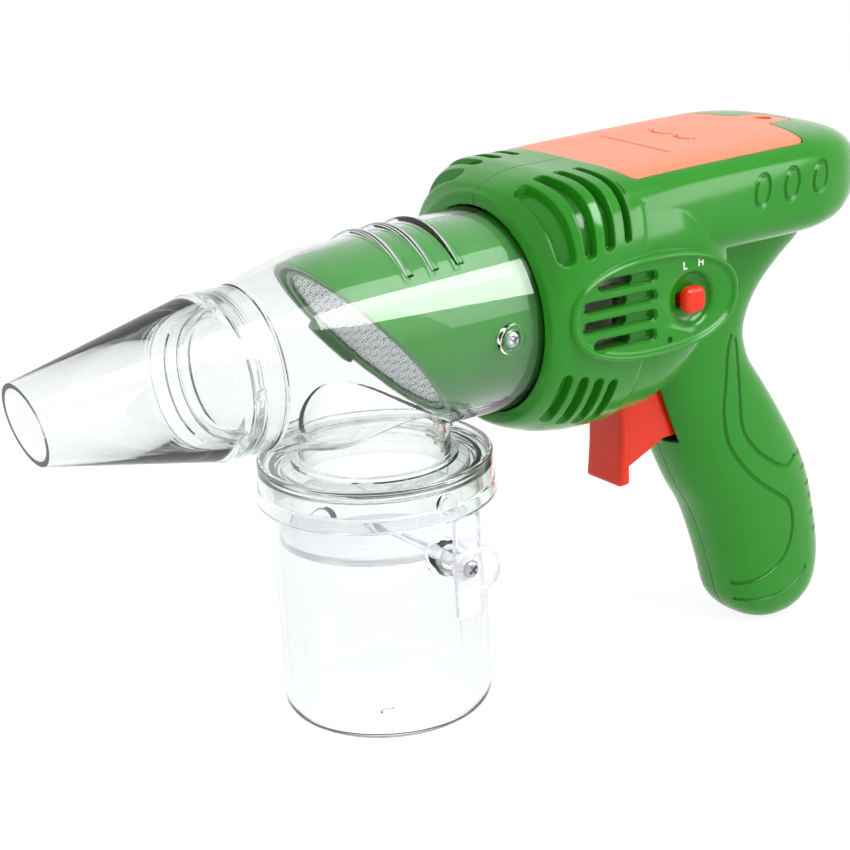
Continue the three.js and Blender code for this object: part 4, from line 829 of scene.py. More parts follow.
def trigger_outline(margin):
    front, pad, back = TRIGGER.front - margin, TRIGGER.pad_rear + margin, TRIGGER.rear + margin
    top, low = TRIGGER.top + margin, TRIGGER.low - margin
    return [
        (front, top), (front, low), (pad, low), (pad, TRIGGER.web_front_low - margin),
        (TRIGGER.web_x, TRIGGER.web_low - margin), (back, TRIGGER.web_low - margin), (back, top),
    ]


def trigger_sweep():
    """The room that the trigger needs from rest to full pull"""
    x, z = TRIGGER.pivot_x, TRIGGER.pivot_z
    sweeps = []
    for share in SWEEP_SHARES:
        tool = prism("sweep", trigger_outline(TRIGGER.room), "Y", -TRIGGER.room_half, TRIGGER.room_half)
        turn = Matrix.Rotation(-TRIGGER_SWING * share, 4, "Y")
        tool.data.transform(Matrix.Translation((x, 0, z)) @ turn @ Matrix.Translation((-x, 0, -z)))
        sweeps.append(tool)
    return join(*sweeps)


# Lines pressed into the green body

LINE = sizes(radius=0.8, notch=0.7, start=60, notch_reach=9)
REAR_RING = sizes(half_length=3, half_height=5.2, level=28)
REAR_RING_LEAN = math.radians(14)


def smooth_line(points, steps=5):
    """A curve through the points"""
    result = []
    last = len(points) - 1
    for i in range(last):
        a, b, c, d = [Vector(points[min(max(j, 0), last)]) for j in (i - 1, i, i + 1, i + 2)]
        for step in range(steps):
            t = step / steps
            bend = (2 * a - 5 * b + 4 * c - d) * t ** 2 + (3 * b - a - 3 * c + d) * t ** 3
            result.append((2 * b + (c - a) * t + bend) / 2)
    return result + [Vector(points[last])]


def carried(obj, starts, direction):
    """Points where rays from the starts meet the surface"""
    graph = bmesh.new()
    graph.from_mesh(obj.data)
    tree = BVHTree.FromBMesh(graph)
    graph.free()
    hits = [tree.ray_cast(Vector(start), Vector(direction))[0] for start in starts]
    return [hit for hit in hits if hit is not None]


def laid_on_side(obj, line):
    return carried(obj, [(x, -LINE.start, z) for x, z in line], (0, 1, 0))


def laid_on_top(obj, line):
    return carried(obj, [(x, y, FAR) for x, y in line], (0, 0, -1))


def grip_grooves(obj):
    """Thin lines pressed into the side of the grip"""
    tools = []
    for name, line in GRIP_LINES.items():
        points = smooth_line([(x * MM, z * MM) for x, z in line])
        tools.append(wire_through("line_" + name, laid_on_side(obj, points), LINE.radius))
    return tools


def rear_rings(obj):
    """Oval lines pressed into the side of the battery box"""
    across, down = math.cos(REAR_RING_LEAN), math.sin(REAR_RING_LEAN)
    tools = []
    for x in REAR_RINGS:
        ring = []
        for u, v in oval(REAR_RING.half_length, REAR_RING.half_height, 2, 40):
            ring.append((x * MM + u * across + v * down, REAR_RING.level + v * across - u * down))
        tools.append(wire_through("ring", laid_on_side(obj, ring), LINE.radius, closed=True))
    return tools


def grip_notches(s):
    """Short grooves across the back of the grip"""
    rows = finer(GRIP_SHARES, (s.grip_height, s.grip_depth), 200)
    tools = []
    for level in NOTCH_SHARES:
        share = min(rows, key=lambda row: abs(row[0] - level))
        ring = grip_ring(share, 0, 96, s)
        reach = max(point[0] for point in ring)
        arc = [point for point in ring if point[0] > reach - LINE.notch_reach]
        arc.sort(key=lambda point: point[1])
        tools.append(wire_through("notch", arc, LINE.notch))
    return tools


HOOD_BORE = sizes(front=20, rear=51.7, radius=33.1)
HOOD_FLOOR = 1.2 * MM


def hollowed(skin, s):
    """The skin with its walls left, the door's opening, its rails and the screw posts"""
    lining = rear_loft("lining", s.wall, s, COARSE, 0)
    hood_lining = hood_loft("hood_lining", s.louvre_depth + HOOD_FLOOR, s, COARSE, 0)
    join(lining, hood_lining, grip_loft("grip_lining", s.wall, s, COARSE, 0))
    posts = post_bars("post", POST.radius, -POST.reach, POST.reach, s)
    common(posts, body_loft("inside", s.wall / 2, s, COARSE, 0))
    cut(skin, lining, door_tool(0, s))
    return join(skin, posts, tray_rails())


def whole_body(s):
    """The body's outer form, hollowed and opened, before it is parted"""
    skin = body_loft("skin", 0, s)
    for line in grip_grooves(skin) + rear_rings(skin):
        twin = mirrored(line)
        cut(skin, line, twin)
    cut(skin, *grip_notches(s))
    join(skin, panel_pad("pad_left", -1, s), panel_pad("pad_right", 1, s))
    hollowed(skin, s)
    bore = bar("bore", "X", HOOD_BORE.front, HOOD_BORE.rear, HOOD_BORE.radius, 0, 0, ROUND)
    cut(skin, bore, louvre_tool(s), panel_slots(-1, s), panel_slots(1, s), dish_tool(s), trigger_sweep())
    shanks = post_bars("shank", POST.shank, POST.shank_start, FAR, s)
    heads = post_bars("head", POST.head, POST.head_start, FAR, s)
    return cut(skin, join(shanks, heads))


# Finishing a piece

def shaded(obj, material, angle=33):
    only(obj)
    bpy.ops.object.shade_smooth_by_angle(angle=math.radians(angle))
    obj.data.materials.clear()
    obj.data.materials.append(material)


def settled(obj, body, material, nodes=(), raised=True, angle=33):
    """Stands the piece with the rest, gives it its finish and sets it on its body"""
    obj.data.transform(STANCE @ ON_AXIS if raised else STANCE)
    shaded(obj, material, angle)
    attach(obj, body)
    if nodes:
        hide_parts(*nodes)
    return obj


# Materials

# Scales of the surface noise
DRIFT, GRAIN, HAZE, BRUSH = 28, 900, 60, 700
GREY_LOW, GREY_HIGH = 0.3, 0.7
PLASTIC_CHANGE, METAL_CHANGE = 0.07, 0.1
PLASTIC_BUMP, METAL_BUMP = 0.06, 0.08
BUMP_DEPTH = 0.1 * MM
METAL_EDGE = 0.15 * MM
BEVEL_SAMPLES = 4
COAT_ROUGHNESS = 0.04
SHEEN_WEIGHT, SHEEN_ROUGHNESS = 0.12, 0.35
CLEAR_BLEND, CLEAR_MIRROR = 0.28, 0.3
LIGHT_THROUGH = (0.93, 0.97, 0.95, 1)
PRINT_WHITE = (0.86, 0.88, 0.84, 1)


def fresh(name):
    material = bpy.data.materials.new(name)
    material.use_nodes = True
    nodes = material.node_tree.nodes
    return material, nodes, material.node_tree.links, nodes["Principled BSDF"]


def fill_in(node, values):
    """Sets a node's inputs by their names"""
    for name, value in values.items():
        node.inputs[name].default_value = value


def speckle(nodes, links, scale, detail=3):
    place = nodes.new("ShaderNodeTexCoord")
    noise = nodes.new("ShaderNodeTexNoise")
    fill_in(noise, {"Scale": scale, "Detail": detail})
    links.new(place.outputs["Object"], noise.inputs["Vector"])
    return noise.outputs["Fac"]


def spread(nodes, links, source, low, high):
    """The noise's grey drawn out between two values"""
    ramp = nodes.new("ShaderNodeMapRange")
    fill_in(ramp, {"From Min": GREY_LOW, "From Max": GREY_HIGH, "To Min": low, "To Max": high})
    links.new(source, ramp.inputs["Value"])
    return ramp.outputs["Result"]


def blended(nodes, links, source, first, second):
    """A colour between two others"""
    mix = nodes.new("ShaderNodeMix")
    mix.data_type = "RGBA"
    fill_in(mix, {"A": first, "B": second})
    links.new(source, mix.inputs["Factor"])
    return mix.outputs["Result"]


def varied(nodes, links, source, tint, change):
    """A colour that drifts a little between a darker and a lighter shade"""
    darker = (*[value * (1 - change) for value in tint[:3]], 1)
    lighter = (*[min(1, value * (1 + change)) for value in tint[:3]], 1)
    return blended(nodes, links, source, darker, lighter)


def soft_edges(nodes, links, shader, radius, height, strength):
    """Edges that catch the light, and a faint relief"""
    edge = nodes.new("ShaderNodeBevel")
    edge.samples = BEVEL_SAMPLES
    edge.inputs["Radius"].default_value = radius
    bump = nodes.new("ShaderNodeBump")
    fill_in(bump, {"Strength": strength, "Distance": BUMP_DEPTH})
    links.new(height, bump.inputs["Height"])
    links.new(edge.outputs["Normal"], bump.inputs["Normal"])
    links.new(bump.outputs["Normal"], shader.inputs["Normal"])


def moulded(name, tint, roughness, edge=0.45, sheen=None, coat=0, mirror=0.5):
    """Glossy moulded plastic with colour drift and faint flow marks; its edges' radius is in millimetres"""
    material, nodes, links, shader = fresh(name)
    drift = speckle(nodes, links, DRIFT)
    grain = speckle(nodes, links, GRAIN, 2)
    links.new(varied(nodes, links, drift, tint, PLASTIC_CHANGE), shader.inputs["Base Color"])
    links.new(spread(nodes, links, drift, roughness * 0.85, roughness * 1.2), shader.inputs["Roughness"])
    fill_in(shader, {"Specular IOR Level": mirror, "Coat Weight": coat, "Coat Roughness": COAT_ROUGHNESS})
    if sheen is not None:
        fill_in(shader, {"Sheen Weight": SHEEN_WEIGHT, "Sheen Roughness": SHEEN_ROUGHNESS})
        shader.inputs["Sheen Tint"].default_value = sheen
    soft_edges(nodes, links, shader, edge * MM, grain, PLASTIC_BUMP)
    return material


def see_through(name, face, edge, roughness=0.03, share=1, bend=1.46):
    """Clear plastic: nearly white head on, darker along its walls, and its shadows let light through"""
    material, nodes, links, shader = fresh(name)
    facing = nodes.new("ShaderNodeLayerWeight")
    facing.inputs["Blend"].default_value = CLEAR_BLEND
    links.new(blended(nodes, links, facing.outputs["Facing"], face, edge), shader.inputs["Base Color"])
    fill_in(shader, {"Transmission Weight": share, "IOR": bend, "Specular IOR Level": CLEAR_MIRROR})
    haze = speckle(nodes, links, HAZE)
    links.new(spread(nodes, links, haze, roughness * 0.5, roughness), shader.inputs["Roughness"])
    shadow = nodes.new("ShaderNodeLightPath").outputs["Is Shadow Ray"]
    passing = nodes.new("ShaderNodeBsdfTransparent")
    passing.inputs["Color"].default_value = LIGHT_THROUGH
    mixed(nodes, links, shadow, shader, passing, "Material Output")
    return material


def mixed(nodes, links, share, first, second, end):
    """Blends two shaders by a share and shows the result"""
    mix = nodes.new("ShaderNodeMixShader")
    links.new(share, mix.inputs["Fac"])
    links.new(first.outputs[0], mix.inputs[1])
    links.new(second.outputs[0], mix.inputs[2])
    links.new(mix.outputs["Shader"], nodes[end].inputs["Surface"])


def metal(name, tint, roughness, brushed=0):
    material, nodes, links, shader = fresh(name)
    grain = speckle(nodes, links, BRUSH, 4)
    links.new(varied(nodes, links, grain, tint, METAL_CHANGE), shader.inputs["Base Color"])
    links.new(spread(nodes, links, grain, roughness * 0.8, roughness * 1.3), shader.inputs["Roughness"])
    fill_in(shader, {"Metallic": 1, "Anisotropic": brushed})
    soft_edges(nodes, links, shader, METAL_EDGE, grain, METAL_BUMP)
    return material


def finish_table(f):
    return {
        "green": moulded("glossy_green", f.green, 0.14, edge=0.8, sheen=f.rim_green, mirror=0.3),
        "duct": moulded("duct_green", f.duct, 0.3, edge=0.6, mirror=0.2),
        "orange": moulded("salmon_orange", f.orange, 0.3, edge=0.35),
        "red": moulded("orange_red", f.red, 0.2, edge=0.5, mirror=0.3),
        "ivory": moulded("natural_ivory", f.ivory, 0.5),
        "dark": moulded("matt_black", f.dark, 0.55),
        "cell": moulded("plain_sleeve", f.cell, 0.3, edge=0.3, coat=0.4),
        "white": moulded("printed_white", PRINT_WHITE, 0.4),
        "clear": see_through("clear_plastic", f.clear, f.clear_edge),
        "lilac": see_through("lilac_plastic", f.lilac, f.lilac_edge, roughness=0.05, share=0.75, bend=1.2),
        "steel": metal("bright_nickel", f.steel, 0.22, brushed=0.2),
        "screw": metal("screw_steel", f.screw, 0.26),
        "mesh": metal("mesh_wire", f.steel, 0.32),
        "copper": metal("dull_copper", f.copper, 0.3),
    }


FINISHES = {}


# Clear front pieces

CHAMBER = sizes(
    edge=0.7, lip=1.8, lip_length=2, inlet_setback=4, inlet_length=1.8, hollow_edge=0.5, neck_wall=1.8,
    flange=2.4, flange_height=1.6,
)
RIB = sizes(x=1.5, pitch=9, proud=0.2, radius=1.4)
RIB_COUNT = 3
RIB_START = math.radians(46)
CHAMBER_BOSS = sizes(
    x=29.5, radius=4.7, proud=1.8, depth=3.4, edge=0.5, seat_radius=2.9, seat_depth=1.6, shank=1.45
)
COLLAR_PIN = sizes(x=27.8, radius=0.9, edge=0.2, foot=3.2, boss_radius=2.4, boss_drop=2.6, hole=1.2)
NOZZLE = sizes(
    base_length=14.7, step=1.2, lead=4, edge=0.6, lug_setback=8.3, lug_radius=1.9, lug_proud=0.9,
    lug_edge=0.4,
)
TIP_SLANT = math.radians(11)


def chamber_radius(x, c):
    if x < c.shoulder:
        share = (x - c.front) / (c.shoulder - c.front)
        return c.front_radius + share * (c.shoulder_radius - c.front_radius)
    share = (x - c.shoulder) / (c.rear - c.shoulder)
    return c.shoulder_radius + share * (c.rear_radius - c.shoulder_radius)


def spigot_radius(c):
    return c.band_radius - c.nozzle_wall - GAP


def chamber_skin(c):
    spigot = c.front - c.spigot
    lip, lip_radius = c.rear - CHAMBER.lip_length, c.rear_radius + CHAMBER.lip
    outline = [
        (spigot, 0), (spigot, spigot_radius(c)), (c.front, spigot_radius(c)), (c.front, c.front_radius),
        (c.shoulder, c.shoulder_radius), (lip, c.rear_radius), (lip, lip_radius), (c.rear, lip_radius),
        (c.rear, 0),
    ]
    return turned("chamber", rounded(outline, CHAMBER.edge), "X")


def chamber_hollow(c):
    spigot = c.front - c.spigot
    inlet = spigot + CHAMBER.inlet_setback
    inlet_end = inlet + CHAMBER.inlet_length
    start, end = spigot - OVERRUN, c.rear + OVERRUN
    inner = spigot_radius(c) - c.wall
    outline = [
        (start, 0), (start, inner), (inlet, inner), (inlet, c.inlet_radius), (inlet_end, c.inlet_radius),
        (inlet_end, inner), (c.front + c.wall, inner), (c.front + c.wall, c.front_radius - c.wall),
        (c.shoulder, c.shoulder_radius - c.wall), (end, c.rear_radius - c.wall), (end, 0),
    ]
    return turned("chamber_hollow", rounded(outline, CHAMBER.hollow_edge), "X")


def chamber_ribs(c, steps=40):
    """Three ribs over the top of the chamber with round ends"""
    ribs = []
    for i in range(RIB_COUNT):
        x = RIB.x + RIB.pitch * i
        radius = chamber_radius(x, c) + RIB.proud
        arc = []
        for step in range(steps + 1):
            angle = RIB_START + (math.pi - 2 * RIB_START) * step / steps
            arc.append((x, -radius * math.cos(angle), radius * math.sin(angle)))
        ribs.append(wire_through("rib", arc, RIB.radius, sides=4))
    return ribs


def jar_top_z(j):
    return j.height + GAP + j.plate


def neck_low_z(c, j):
    """The height at which the neck ends, just clear of the trap door as it turns"""
    reach = c.neck_radius - CHAMBER.neck_wall
    return j.axle_height + math.sqrt(disc_radius(j) ** 2 - reach ** 2) + GAP


def neck_piece(c, j):
    low = neck_low_z(c, j) - AXIS_HEIGHT
    plate = jar_top_z(j) + GAP - AXIS_HEIGHT
    flange, flange_top = c.neck_radius + CHAMBER.flange, plate + CHAMBER.flange_height
    outline = [
        (low, 0), (low, c.neck_radius), (plate, c.neck_radius), (plate, flange), (flange_top, flange),
        (flange_top, c.neck_radius), (0, c.neck_radius), (0, 0),
    ]
    return turned("neck", outline, "Z")


def chamber_boss_outside(c):
    return chamber_radius(CHAMBER_BOSS.x, c) + CHAMBER_BOSS.proud


def chamber_piece(c, j):
    """The chamber with its neck, screw bosses and ribs, hollow from end to end"""
    boss, pin = CHAMBER_BOSS, COLLAR_PIN
    body = chamber_skin(c)
    join(body, neck_piece(c, j))
    outer = chamber_boss_outside(c)
    for side in (-1, 1):
        ends = sorted((side * outer, side * (outer - boss.depth)))
        join(body, bevelled(bar("boss", "Y", *ends, boss.radius, boss.x, 0, 64), boss.edge))
    join(body, *chamber_ribs(c))
    pin_top = -chamber_radius(pin.x, c)
    pin_low = pin_top - pin.boss_drop
    join(body, bar("pin_boss", "Z", pin_low, pin_top + c.wall, pin.boss_radius, pin.x, 0, 32))
    bore = bar("neck_bore", "Z", -FAR, -c.front_radius / 2, c.neck_radius - CHAMBER.neck_wall, 0, 0, ROUND)
    cut(body, chamber_hollow(c), bore)
    seat = outer - boss.seat_depth
    cut(body, bar("seat", "Y", -FAR, -seat, boss.seat_radius, boss.x, 0))
    cut(body, bar("seat", "Y", seat, FAR, boss.seat_radius, boss.x, 0))
    cut(body, bar("shank", "Y", -FAR, FAR, boss.shank, boss.x, 0, 24))
    return cut(body, bar("pin_hole", "Z", pin_top - FAR, pin_top + GAP, pin.hole, pin.x, 0, 24))


def nozzle_piece(c):
    """A cone with a rear band and a lug, cut slanted at its mouth"""
    rear = c.front - GAP
    base = rear - NOZZLE.base_length
    spigot = c.front - c.spigot - GAP
    lead = c.tip_radius * math.tan(TIP_SLANT) + NOZZLE.lead
    slant = (c.base_radius - c.tip_radius) / (base - c.tip)
    front = c.tip - lead
    radius = c.tip_radius - slant * lead
    wall = c.nozzle_wall
    inner = min(c.base_radius - wall + slant / 2 * (spigot - base), c.band_radius - wall)
    outline = [
        (front, radius), (base, c.base_radius), (base + NOZZLE.step, c.band_radius), (rear, c.band_radius),
        (rear, c.band_radius - wall), (spigot, c.band_radius - wall), (spigot, inner),
        (base, c.base_radius - wall), (front, radius - wall),
    ]
    cone = turned("nozzle", rounded(outline, NOZZLE.edge), "X")
    outer, foot = c.band_radius + NOZZLE.lug_proud, c.band_radius - wall / 2
    lug = bar("lug", "Y", -outer, -foot, NOZZLE.lug_radius, rear - NOZZLE.lug_setback, 0, 40)
    join(cone, bevelled(lug, NOZZLE.lug_edge))
    tip = block("tip_cut", -FAR, 0, -FAR, FAR, -FAR, FAR)
    tip.data.transform(Matrix.Translation((c.tip, 0, 0)) @ Matrix.Rotation(-TIP_SLANT, 4, "Y"))
    return cut(cone, tip)


# Duct, mesh and its ring

DUCT = sizes(front=-37, wall=2.1, clear=0.6, rear=2, edge=0.5, hole=1.45)
MOUTH_X = -3 * MM
MOUTH_SLANT = math.radians(50)
MOUTH_LIP = sizes(width=2.2, inner=4, start=-18.5, end=-0.7, edge=1.4)
NET = sizes(recess=1.9, drop=2.1, wall=1.8, margin=1.2, half=0.35, shelf=2.3, clear=0.3)
# The net's length as a share of its width
NET_LONG_SHARE = 1.29
WIRE_LEAN = math.radians(33)
WIRE_LIFT_SHARE = 0.9
# Depths and insets of the ring's section, in millimetres
RING_SECTION = [(0, 0.3), (0.25, 0), (0.75, 0), (1, 0.3), (1, 1.6), (0.75, 1.9), (0.25, 1.9), (0, 1.6)]


def duct_radius(x, c):
    return chamber_radius(x, c) - c.wall - DUCT.clear


def net_half_width(c):
    return duct_radius(MOUTH_X, c) - NET.wall - NET.margin


def in_net_plane(obj):
    place = Matrix.Translation((MOUTH_X, 0, 0)) @ Matrix.Rotation(MOUTH_SLANT, 4, "Y")
    obj.data.transform(place @ Matrix.Translation((NET.drop, 0, NET.recess)))
    return obj


def mouth_tool():
    """All that lies ahead of the slanted mouth, but for a lip that stands on the far side of the rim"""
    tool = block("mouth", -FAR, 0, -FAR, FAR, -FAR, FAR)
    lip = block("lip", -MOUTH_LIP.width, FAR, MOUTH_LIP.inner, FAR, MOUTH_LIP.start, MOUTH_LIP.end)
    cut(tool, bevelled(lip, MOUTH_LIP.edge, 5))
    turn = Matrix.Rotation(MOUTH_SLANT - math.pi / 2, 4, "Y")
    tool.data.transform(Matrix.Translation((MOUTH_X, 0, 0)) @ turn)
    return tool


def duct_piece(c):
    """The tube inside the chamber, with the shelf that carries the mesh"""
    front, rear = DUCT.front, c.rear + DUCT.rear
    outer = [(x, duct_radius(x, c)) for x in (front, c.shoulder)] + [(rear, duct_radius(c.rear, c))]
    inner = [(x, r - DUCT.wall) for x, r in reversed(outer)]
    tube = turned("duct", rounded(outer + inner, DUCT.edge), "X")
    core = turned("core", [(front, 0), *outer, (rear, 0)], "X")
    low = NET.half + GAP
    slab = block("shelf", -FAR, FAR, -FAR, FAR, low, low + NET.wall)
    half = net_half_width(c)
    opening = oval(half * NET_LONG_SHARE - NET.shelf, half - NET.shelf, 2)
    cut(slab, prism("shelf_hole", opening, "Z", -FAR, FAR))
    join(tube, common(in_net_plane(slab), core))
    return cut(tube, mouth_tool(), bar("duct_hole", "Y", -FAR, FAR, DUCT.hole, CHAMBER_BOSS.x, 0, 24))


def mesh_lines(c):
    """The middle lines of two crossing sets of wires that pass over and under each other"""
    long = net_half_width(c) * NET_LONG_SHARE - NET.clear
    wide = net_half_width(c) - NET.clear
    pitch, lift = c.mesh_pitch, c.wire * WIRE_LIFT_SHARE
    count = int(long * 1.5 / pitch)
    rise = math.sin(2 * WIRE_LEAN)
    lines = []
    for family, lean in enumerate((WIRE_LEAN, -WIRE_LEAN)):
        along = Vector((math.cos(lean), math.sin(lean)))
        across = Vector((-math.sin(lean), math.cos(lean)))
        for i in range(-count, count + 1):
            line = []
            for k in range(-count * 2, count * 2 + 1):
                place = across * (i * pitch) + along * (k * pitch / rise)
                if (place.x / long) ** 2 + (place.y / wide) ** 2 < 1:
                    over = 1 if (i + k + family) % 2 == 0 else -1
                    line.append((place.x, place.y, over * lift))
            if len(line) > 1:
                lines.append(line)
    return lines


def mesh_piece(c):
    return in_net_plane(wires("mesh_wires", mesh_lines(c), c.wire, 1))


def ring_piece(c, count=96):
    half = net_half_width(c)
    top = -NET.half - GAP
    rings = []
    for i in range(count):
        angle = 2 * math.pi * i / count
        section = []
        for depth, inset in RING_SECTION:
            reach_x, reach_y = half * NET_LONG_SHARE - inset * MM, half - inset * MM
            section.append((reach_x * math.cos(angle), reach_y * math.sin(angle), top - depth * MM))
        rings.append(section)
    return in_net_plane(rolled("mesh_ring_smooth", rings + rings[:1]))


# Jar, trap door, lever and collar

EDGE_STEPS = 8
JAR_BOSS = sizes(
    foot_radius=6.2, top_radius=4.6, edge=0.5, far_reach=3, axle_hole=2.5, hole_end=1.8, clear=8
)
GATE_MARK = sizes(radius=2.4, x=-8.6, y=-12.6, rise=0.2, wire=0.35)
DISC = sizes(half=1.2, clear=0.5, edge=0.5, axle=2.2, axle_end=1.5, bore=1.45, bore_depth=8)
LEVER = sizes(
    thickness=2.2, half_width=4.3, half_height=16, corner=2, edge=0.35, tab_x=4.4, tab_z=-1.4,
    tab_radius=6.9, tab_proud=0.8, tab_edge=0.5, dish_radius=5.7, hub_radius=4.1, hub_proud=0.5,
    hub_edge=0.3, seat=2.9, bore=1.45, screw_seat=2.5,
)
COLLAR = sizes(
    rim=1.6, clear=1.7, wall=1.7, depth=9.2, skirt_depth=7.4, skirt_wall=1.6, band_depth=4.4, band_step=0.5,
    flare=1, edge=0.6, lug_drop=3.2, lug_proud=1.6, lug_radius=3.3, lug_edge=0.4, lug_foot=0.85,
    lug_dish=0.8, lug_dish_radius=2.4,
)


def quarter_turn(start, radius, reach, steps):
    """Places and radii along a rounded lower edge"""
    points = []
    for i in steps:
        angle = math.pi / 2 * i / EDGE_STEPS
        points.append((start + reach - reach * math.cos(angle), radius - reach + reach * math.sin(angle)))
    return points


def jar_wall(j):
    """The jar's outline, with its lower edge round inside and out"""
    inner_radius = j.radius - j.wall
    outer = [(0, 0), (0, j.radius - j.edge), *quarter_turn(0, j.radius, j.edge, range(1, EDGE_STEPS + 1))]
    inner = quarter_turn(j.floor, inner_radius, j.edge - j.wall, range(EDGE_STEPS, -1, -1))
    return outer + [(j.height, j.radius), (j.height, inner_radius)] + inner + [(j.floor, 0)]


def jar_boss(name, inner, outer, j):
    """A tapered boss on the side of the jar, from its wall out"""
    outline = [(outer, 0), (outer, JAR_BOSS.top_radius), (inner, JAR_BOSS.foot_radius), (inner, 0)]
    if outer > 0:
        outline.reverse()
    boss = turned(name, rounded(outline, JAR_BOSS.edge), "Y", 64)
    boss.data.transform(Matrix.Translation((0, 0, j.axle_height)))
    return boss


def jar_piece(j):
    inside, near = j.radius - j.wall, j.radius + j.boss_reach
    jar = turned("jar_glass", jar_wall(j), "Z", JAR_SIDES)
    join(jar, jar_boss("boss_near", -inside, -near, j))
    join(jar, jar_boss("boss_far", inside, j.radius + JAR_BOSS.far_reach, j))
    hole_end = j.radius + JAR_BOSS.hole_end
    hole = bar("axle_hole", "Y", -near - OVERRUN, hole_end, JAR_BOSS.axle_hole, 0, j.axle_height, 32)
    low, high = j.axle_height - JAR_BOSS.clear, j.axle_height + JAR_BOSS.clear
    return cut(jar, hole, bar("clear_inside", "Z", low, high, inside, 0, 0, JAR_SIDES))


def gate_mark(j, steps=12):
    """The small raised arc that the moulding gate leaves on the floor"""
    arc = []
    for i in range(steps + 1):
        angle = math.radians(20 + 140 * i / steps)
        x, y = -GATE_MARK.radius * math.cos(angle), GATE_MARK.radius * math.sin(angle)
        arc.append((x + GATE_MARK.x, y + GATE_MARK.y, j.floor + GATE_MARK.rise))
    return wire_through("gate_mark", arc, GATE_MARK.wire)


def disc_radius(j):
    return j.radius - j.wall - DISC.clear


def disc_piece(j):
    """The trap door on its axle"""
    half, radius = DISC.half, disc_radius(j)
    outline = rounded([(-half, 0), (-half, radius), (half, radius), (half, 0)], DISC.edge)
    disc = turned("disc", outline, "Z", JAR_SIDES)
    near = -j.radius - j.boss_reach
    join(disc, bar("axle", "Y", near, j.radius + DISC.axle_end, DISC.axle, 0, 0, 32))
    cut(disc, bar("axle_bore", "Y", near - OVERRUN, near + DISC.bore_depth, DISC.bore, 0, 0, 24))
    disc.data.transform(Matrix.Translation((0, 0, j.axle_height)))
    return disc


def lever_piece(j):
    """A flat lever with a round thumb tab and a hub for its screw"""
    back = -j.radius - j.boss_reach - GAP
    front = back - LEVER.thickness
    outside = front - OVERRUN
    wide, tall = LEVER.half_width, LEVER.half_height
    outline = rounded([(wide, tall), (-wide, tall), (-wide, -tall), (wide, -tall)], LEVER.corner, 6)
    lever = bevelled(prism("lever", outline, "Y", front, back), LEVER.edge, 2)
    tab = bar("tab", "Y", front - LEVER.tab_proud, back, LEVER.tab_radius, LEVER.tab_x, LEVER.tab_z, 72)
    join(lever, bevelled(tab, LEVER.tab_edge, 3))
    cut(lever, bar("tab_dish", "Y", outside, front, LEVER.dish_radius, LEVER.tab_x, LEVER.tab_z, 72))
    hub = bar("hub", "Y", front - LEVER.hub_proud, back, LEVER.hub_radius, 0, 0, 48)
    join(lever, bevelled(hub, LEVER.hub_edge, 2))
    cut(lever, bar("lever_seat", "Y", outside, front, LEVER.seat, 0, 0, 40))
    cut(lever, bar("lever_bore", "Y", -FAR, FAR, LEVER.bore, 0, 0, 24))
    lever.data.transform(Matrix.Translation((0, 0, j.axle_height)))
    return lever


def collar_piece(c, j):
    """The ring that the jar twists into, with a rim above its plate and a skirt inside the jar"""
    top = jar_top_z(j)
    rim, under = top + COLLAR.rim, j.height + GAP
    wall_inner = j.radius + COLLAR.clear
    wall_outer = wall_inner + COLLAR.wall
    low, skirt = under - COLLAR.depth, under - COLLAR.skirt_depth
    band = under - COLLAR.band_depth
    skirt_outer = j.radius - j.wall - GAP
    skirt_inner = skirt_outer - COLLAR.skirt_wall
    hole = c.neck_radius + GAP
    outline = [
        (rim, wall_outer), (band, wall_outer), (band - COLLAR.band_step, wall_outer + COLLAR.band_step),
        (low, wall_outer + COLLAR.flare), (low, wall_inner + COLLAR.flare), (under, wall_inner),
        (under, skirt_outer), (skirt, skirt_outer), (skirt, skirt_inner), (under, skirt_inner),
        (under, hole), (top, hole), (top, wall_inner), (rim, wall_inner),
    ]
    ring = turned("collar", rounded(outline, COLLAR.edge), "Z", JAR_SIDES)
    lug_z, outer = under - COLLAR.lug_drop, wall_outer + COLLAR.lug_proud
    lug = bar("collar_lug", "Y", -outer, -wall_inner - COLLAR.lug_foot, COLLAR.lug_radius, 0, lug_z, 48)
    join(ring, bevelled(lug, COLLAR.lug_edge))
    cut(ring, bar("lug_dish", "Y", -FAR, COLLAR.lug_dish - outer, COLLAR.lug_dish_radius, 0, lug_z, 40))
    return cut(ring, bar("collar_pin_hole", "Z", 0, FAR, COLLAR_PIN.hole, COLLAR_PIN.x, 0, 24))


def collar_pin(c, j):
    """The pin between the collar and the neck"""
    low, top = j.height + GAP - COLLAR_PIN.foot, AXIS_HEIGHT - chamber_radius(COLLAR_PIN.x, c)
    pin = bar("collar_pin_smooth", "Z", low, top, COLLAR_PIN.radius, COLLAR_PIN.x, 0, 24)
    return bevelled(pin, COLLAR_PIN.edge, 2)


# Screws and controls

SCREW = sizes(
    radius=1.15, point=0.8, reach=8, head=2.6, height=1.6, edge=0.25, arm=1.6, thin=0.45, cross_low=0.3,
    cross_top=4,
)
# Height and radius of the screw's head, as shares
HEAD_SHARES = [(0.45, 1), (0.8, 0.86), (1, 0.6)]
HOUSING_SCREW_TURN = math.radians(20)
GATE_SCREW_TURN = math.radians(35)
KNOB = sizes(proud=1.5, back=2.6, half_width=4.3, half_height=4.2, corner=3.2, edge=1.5)
KNOB_STEM = sizes(half_width=2.6, half_height=2, overlap=1, inner=-32.7)
LETTER = sizes(size=3.5, l_x=92.7, h_x=99.3, z=10.2, thickness=0.05, bold=0.09, sunk=0.02)


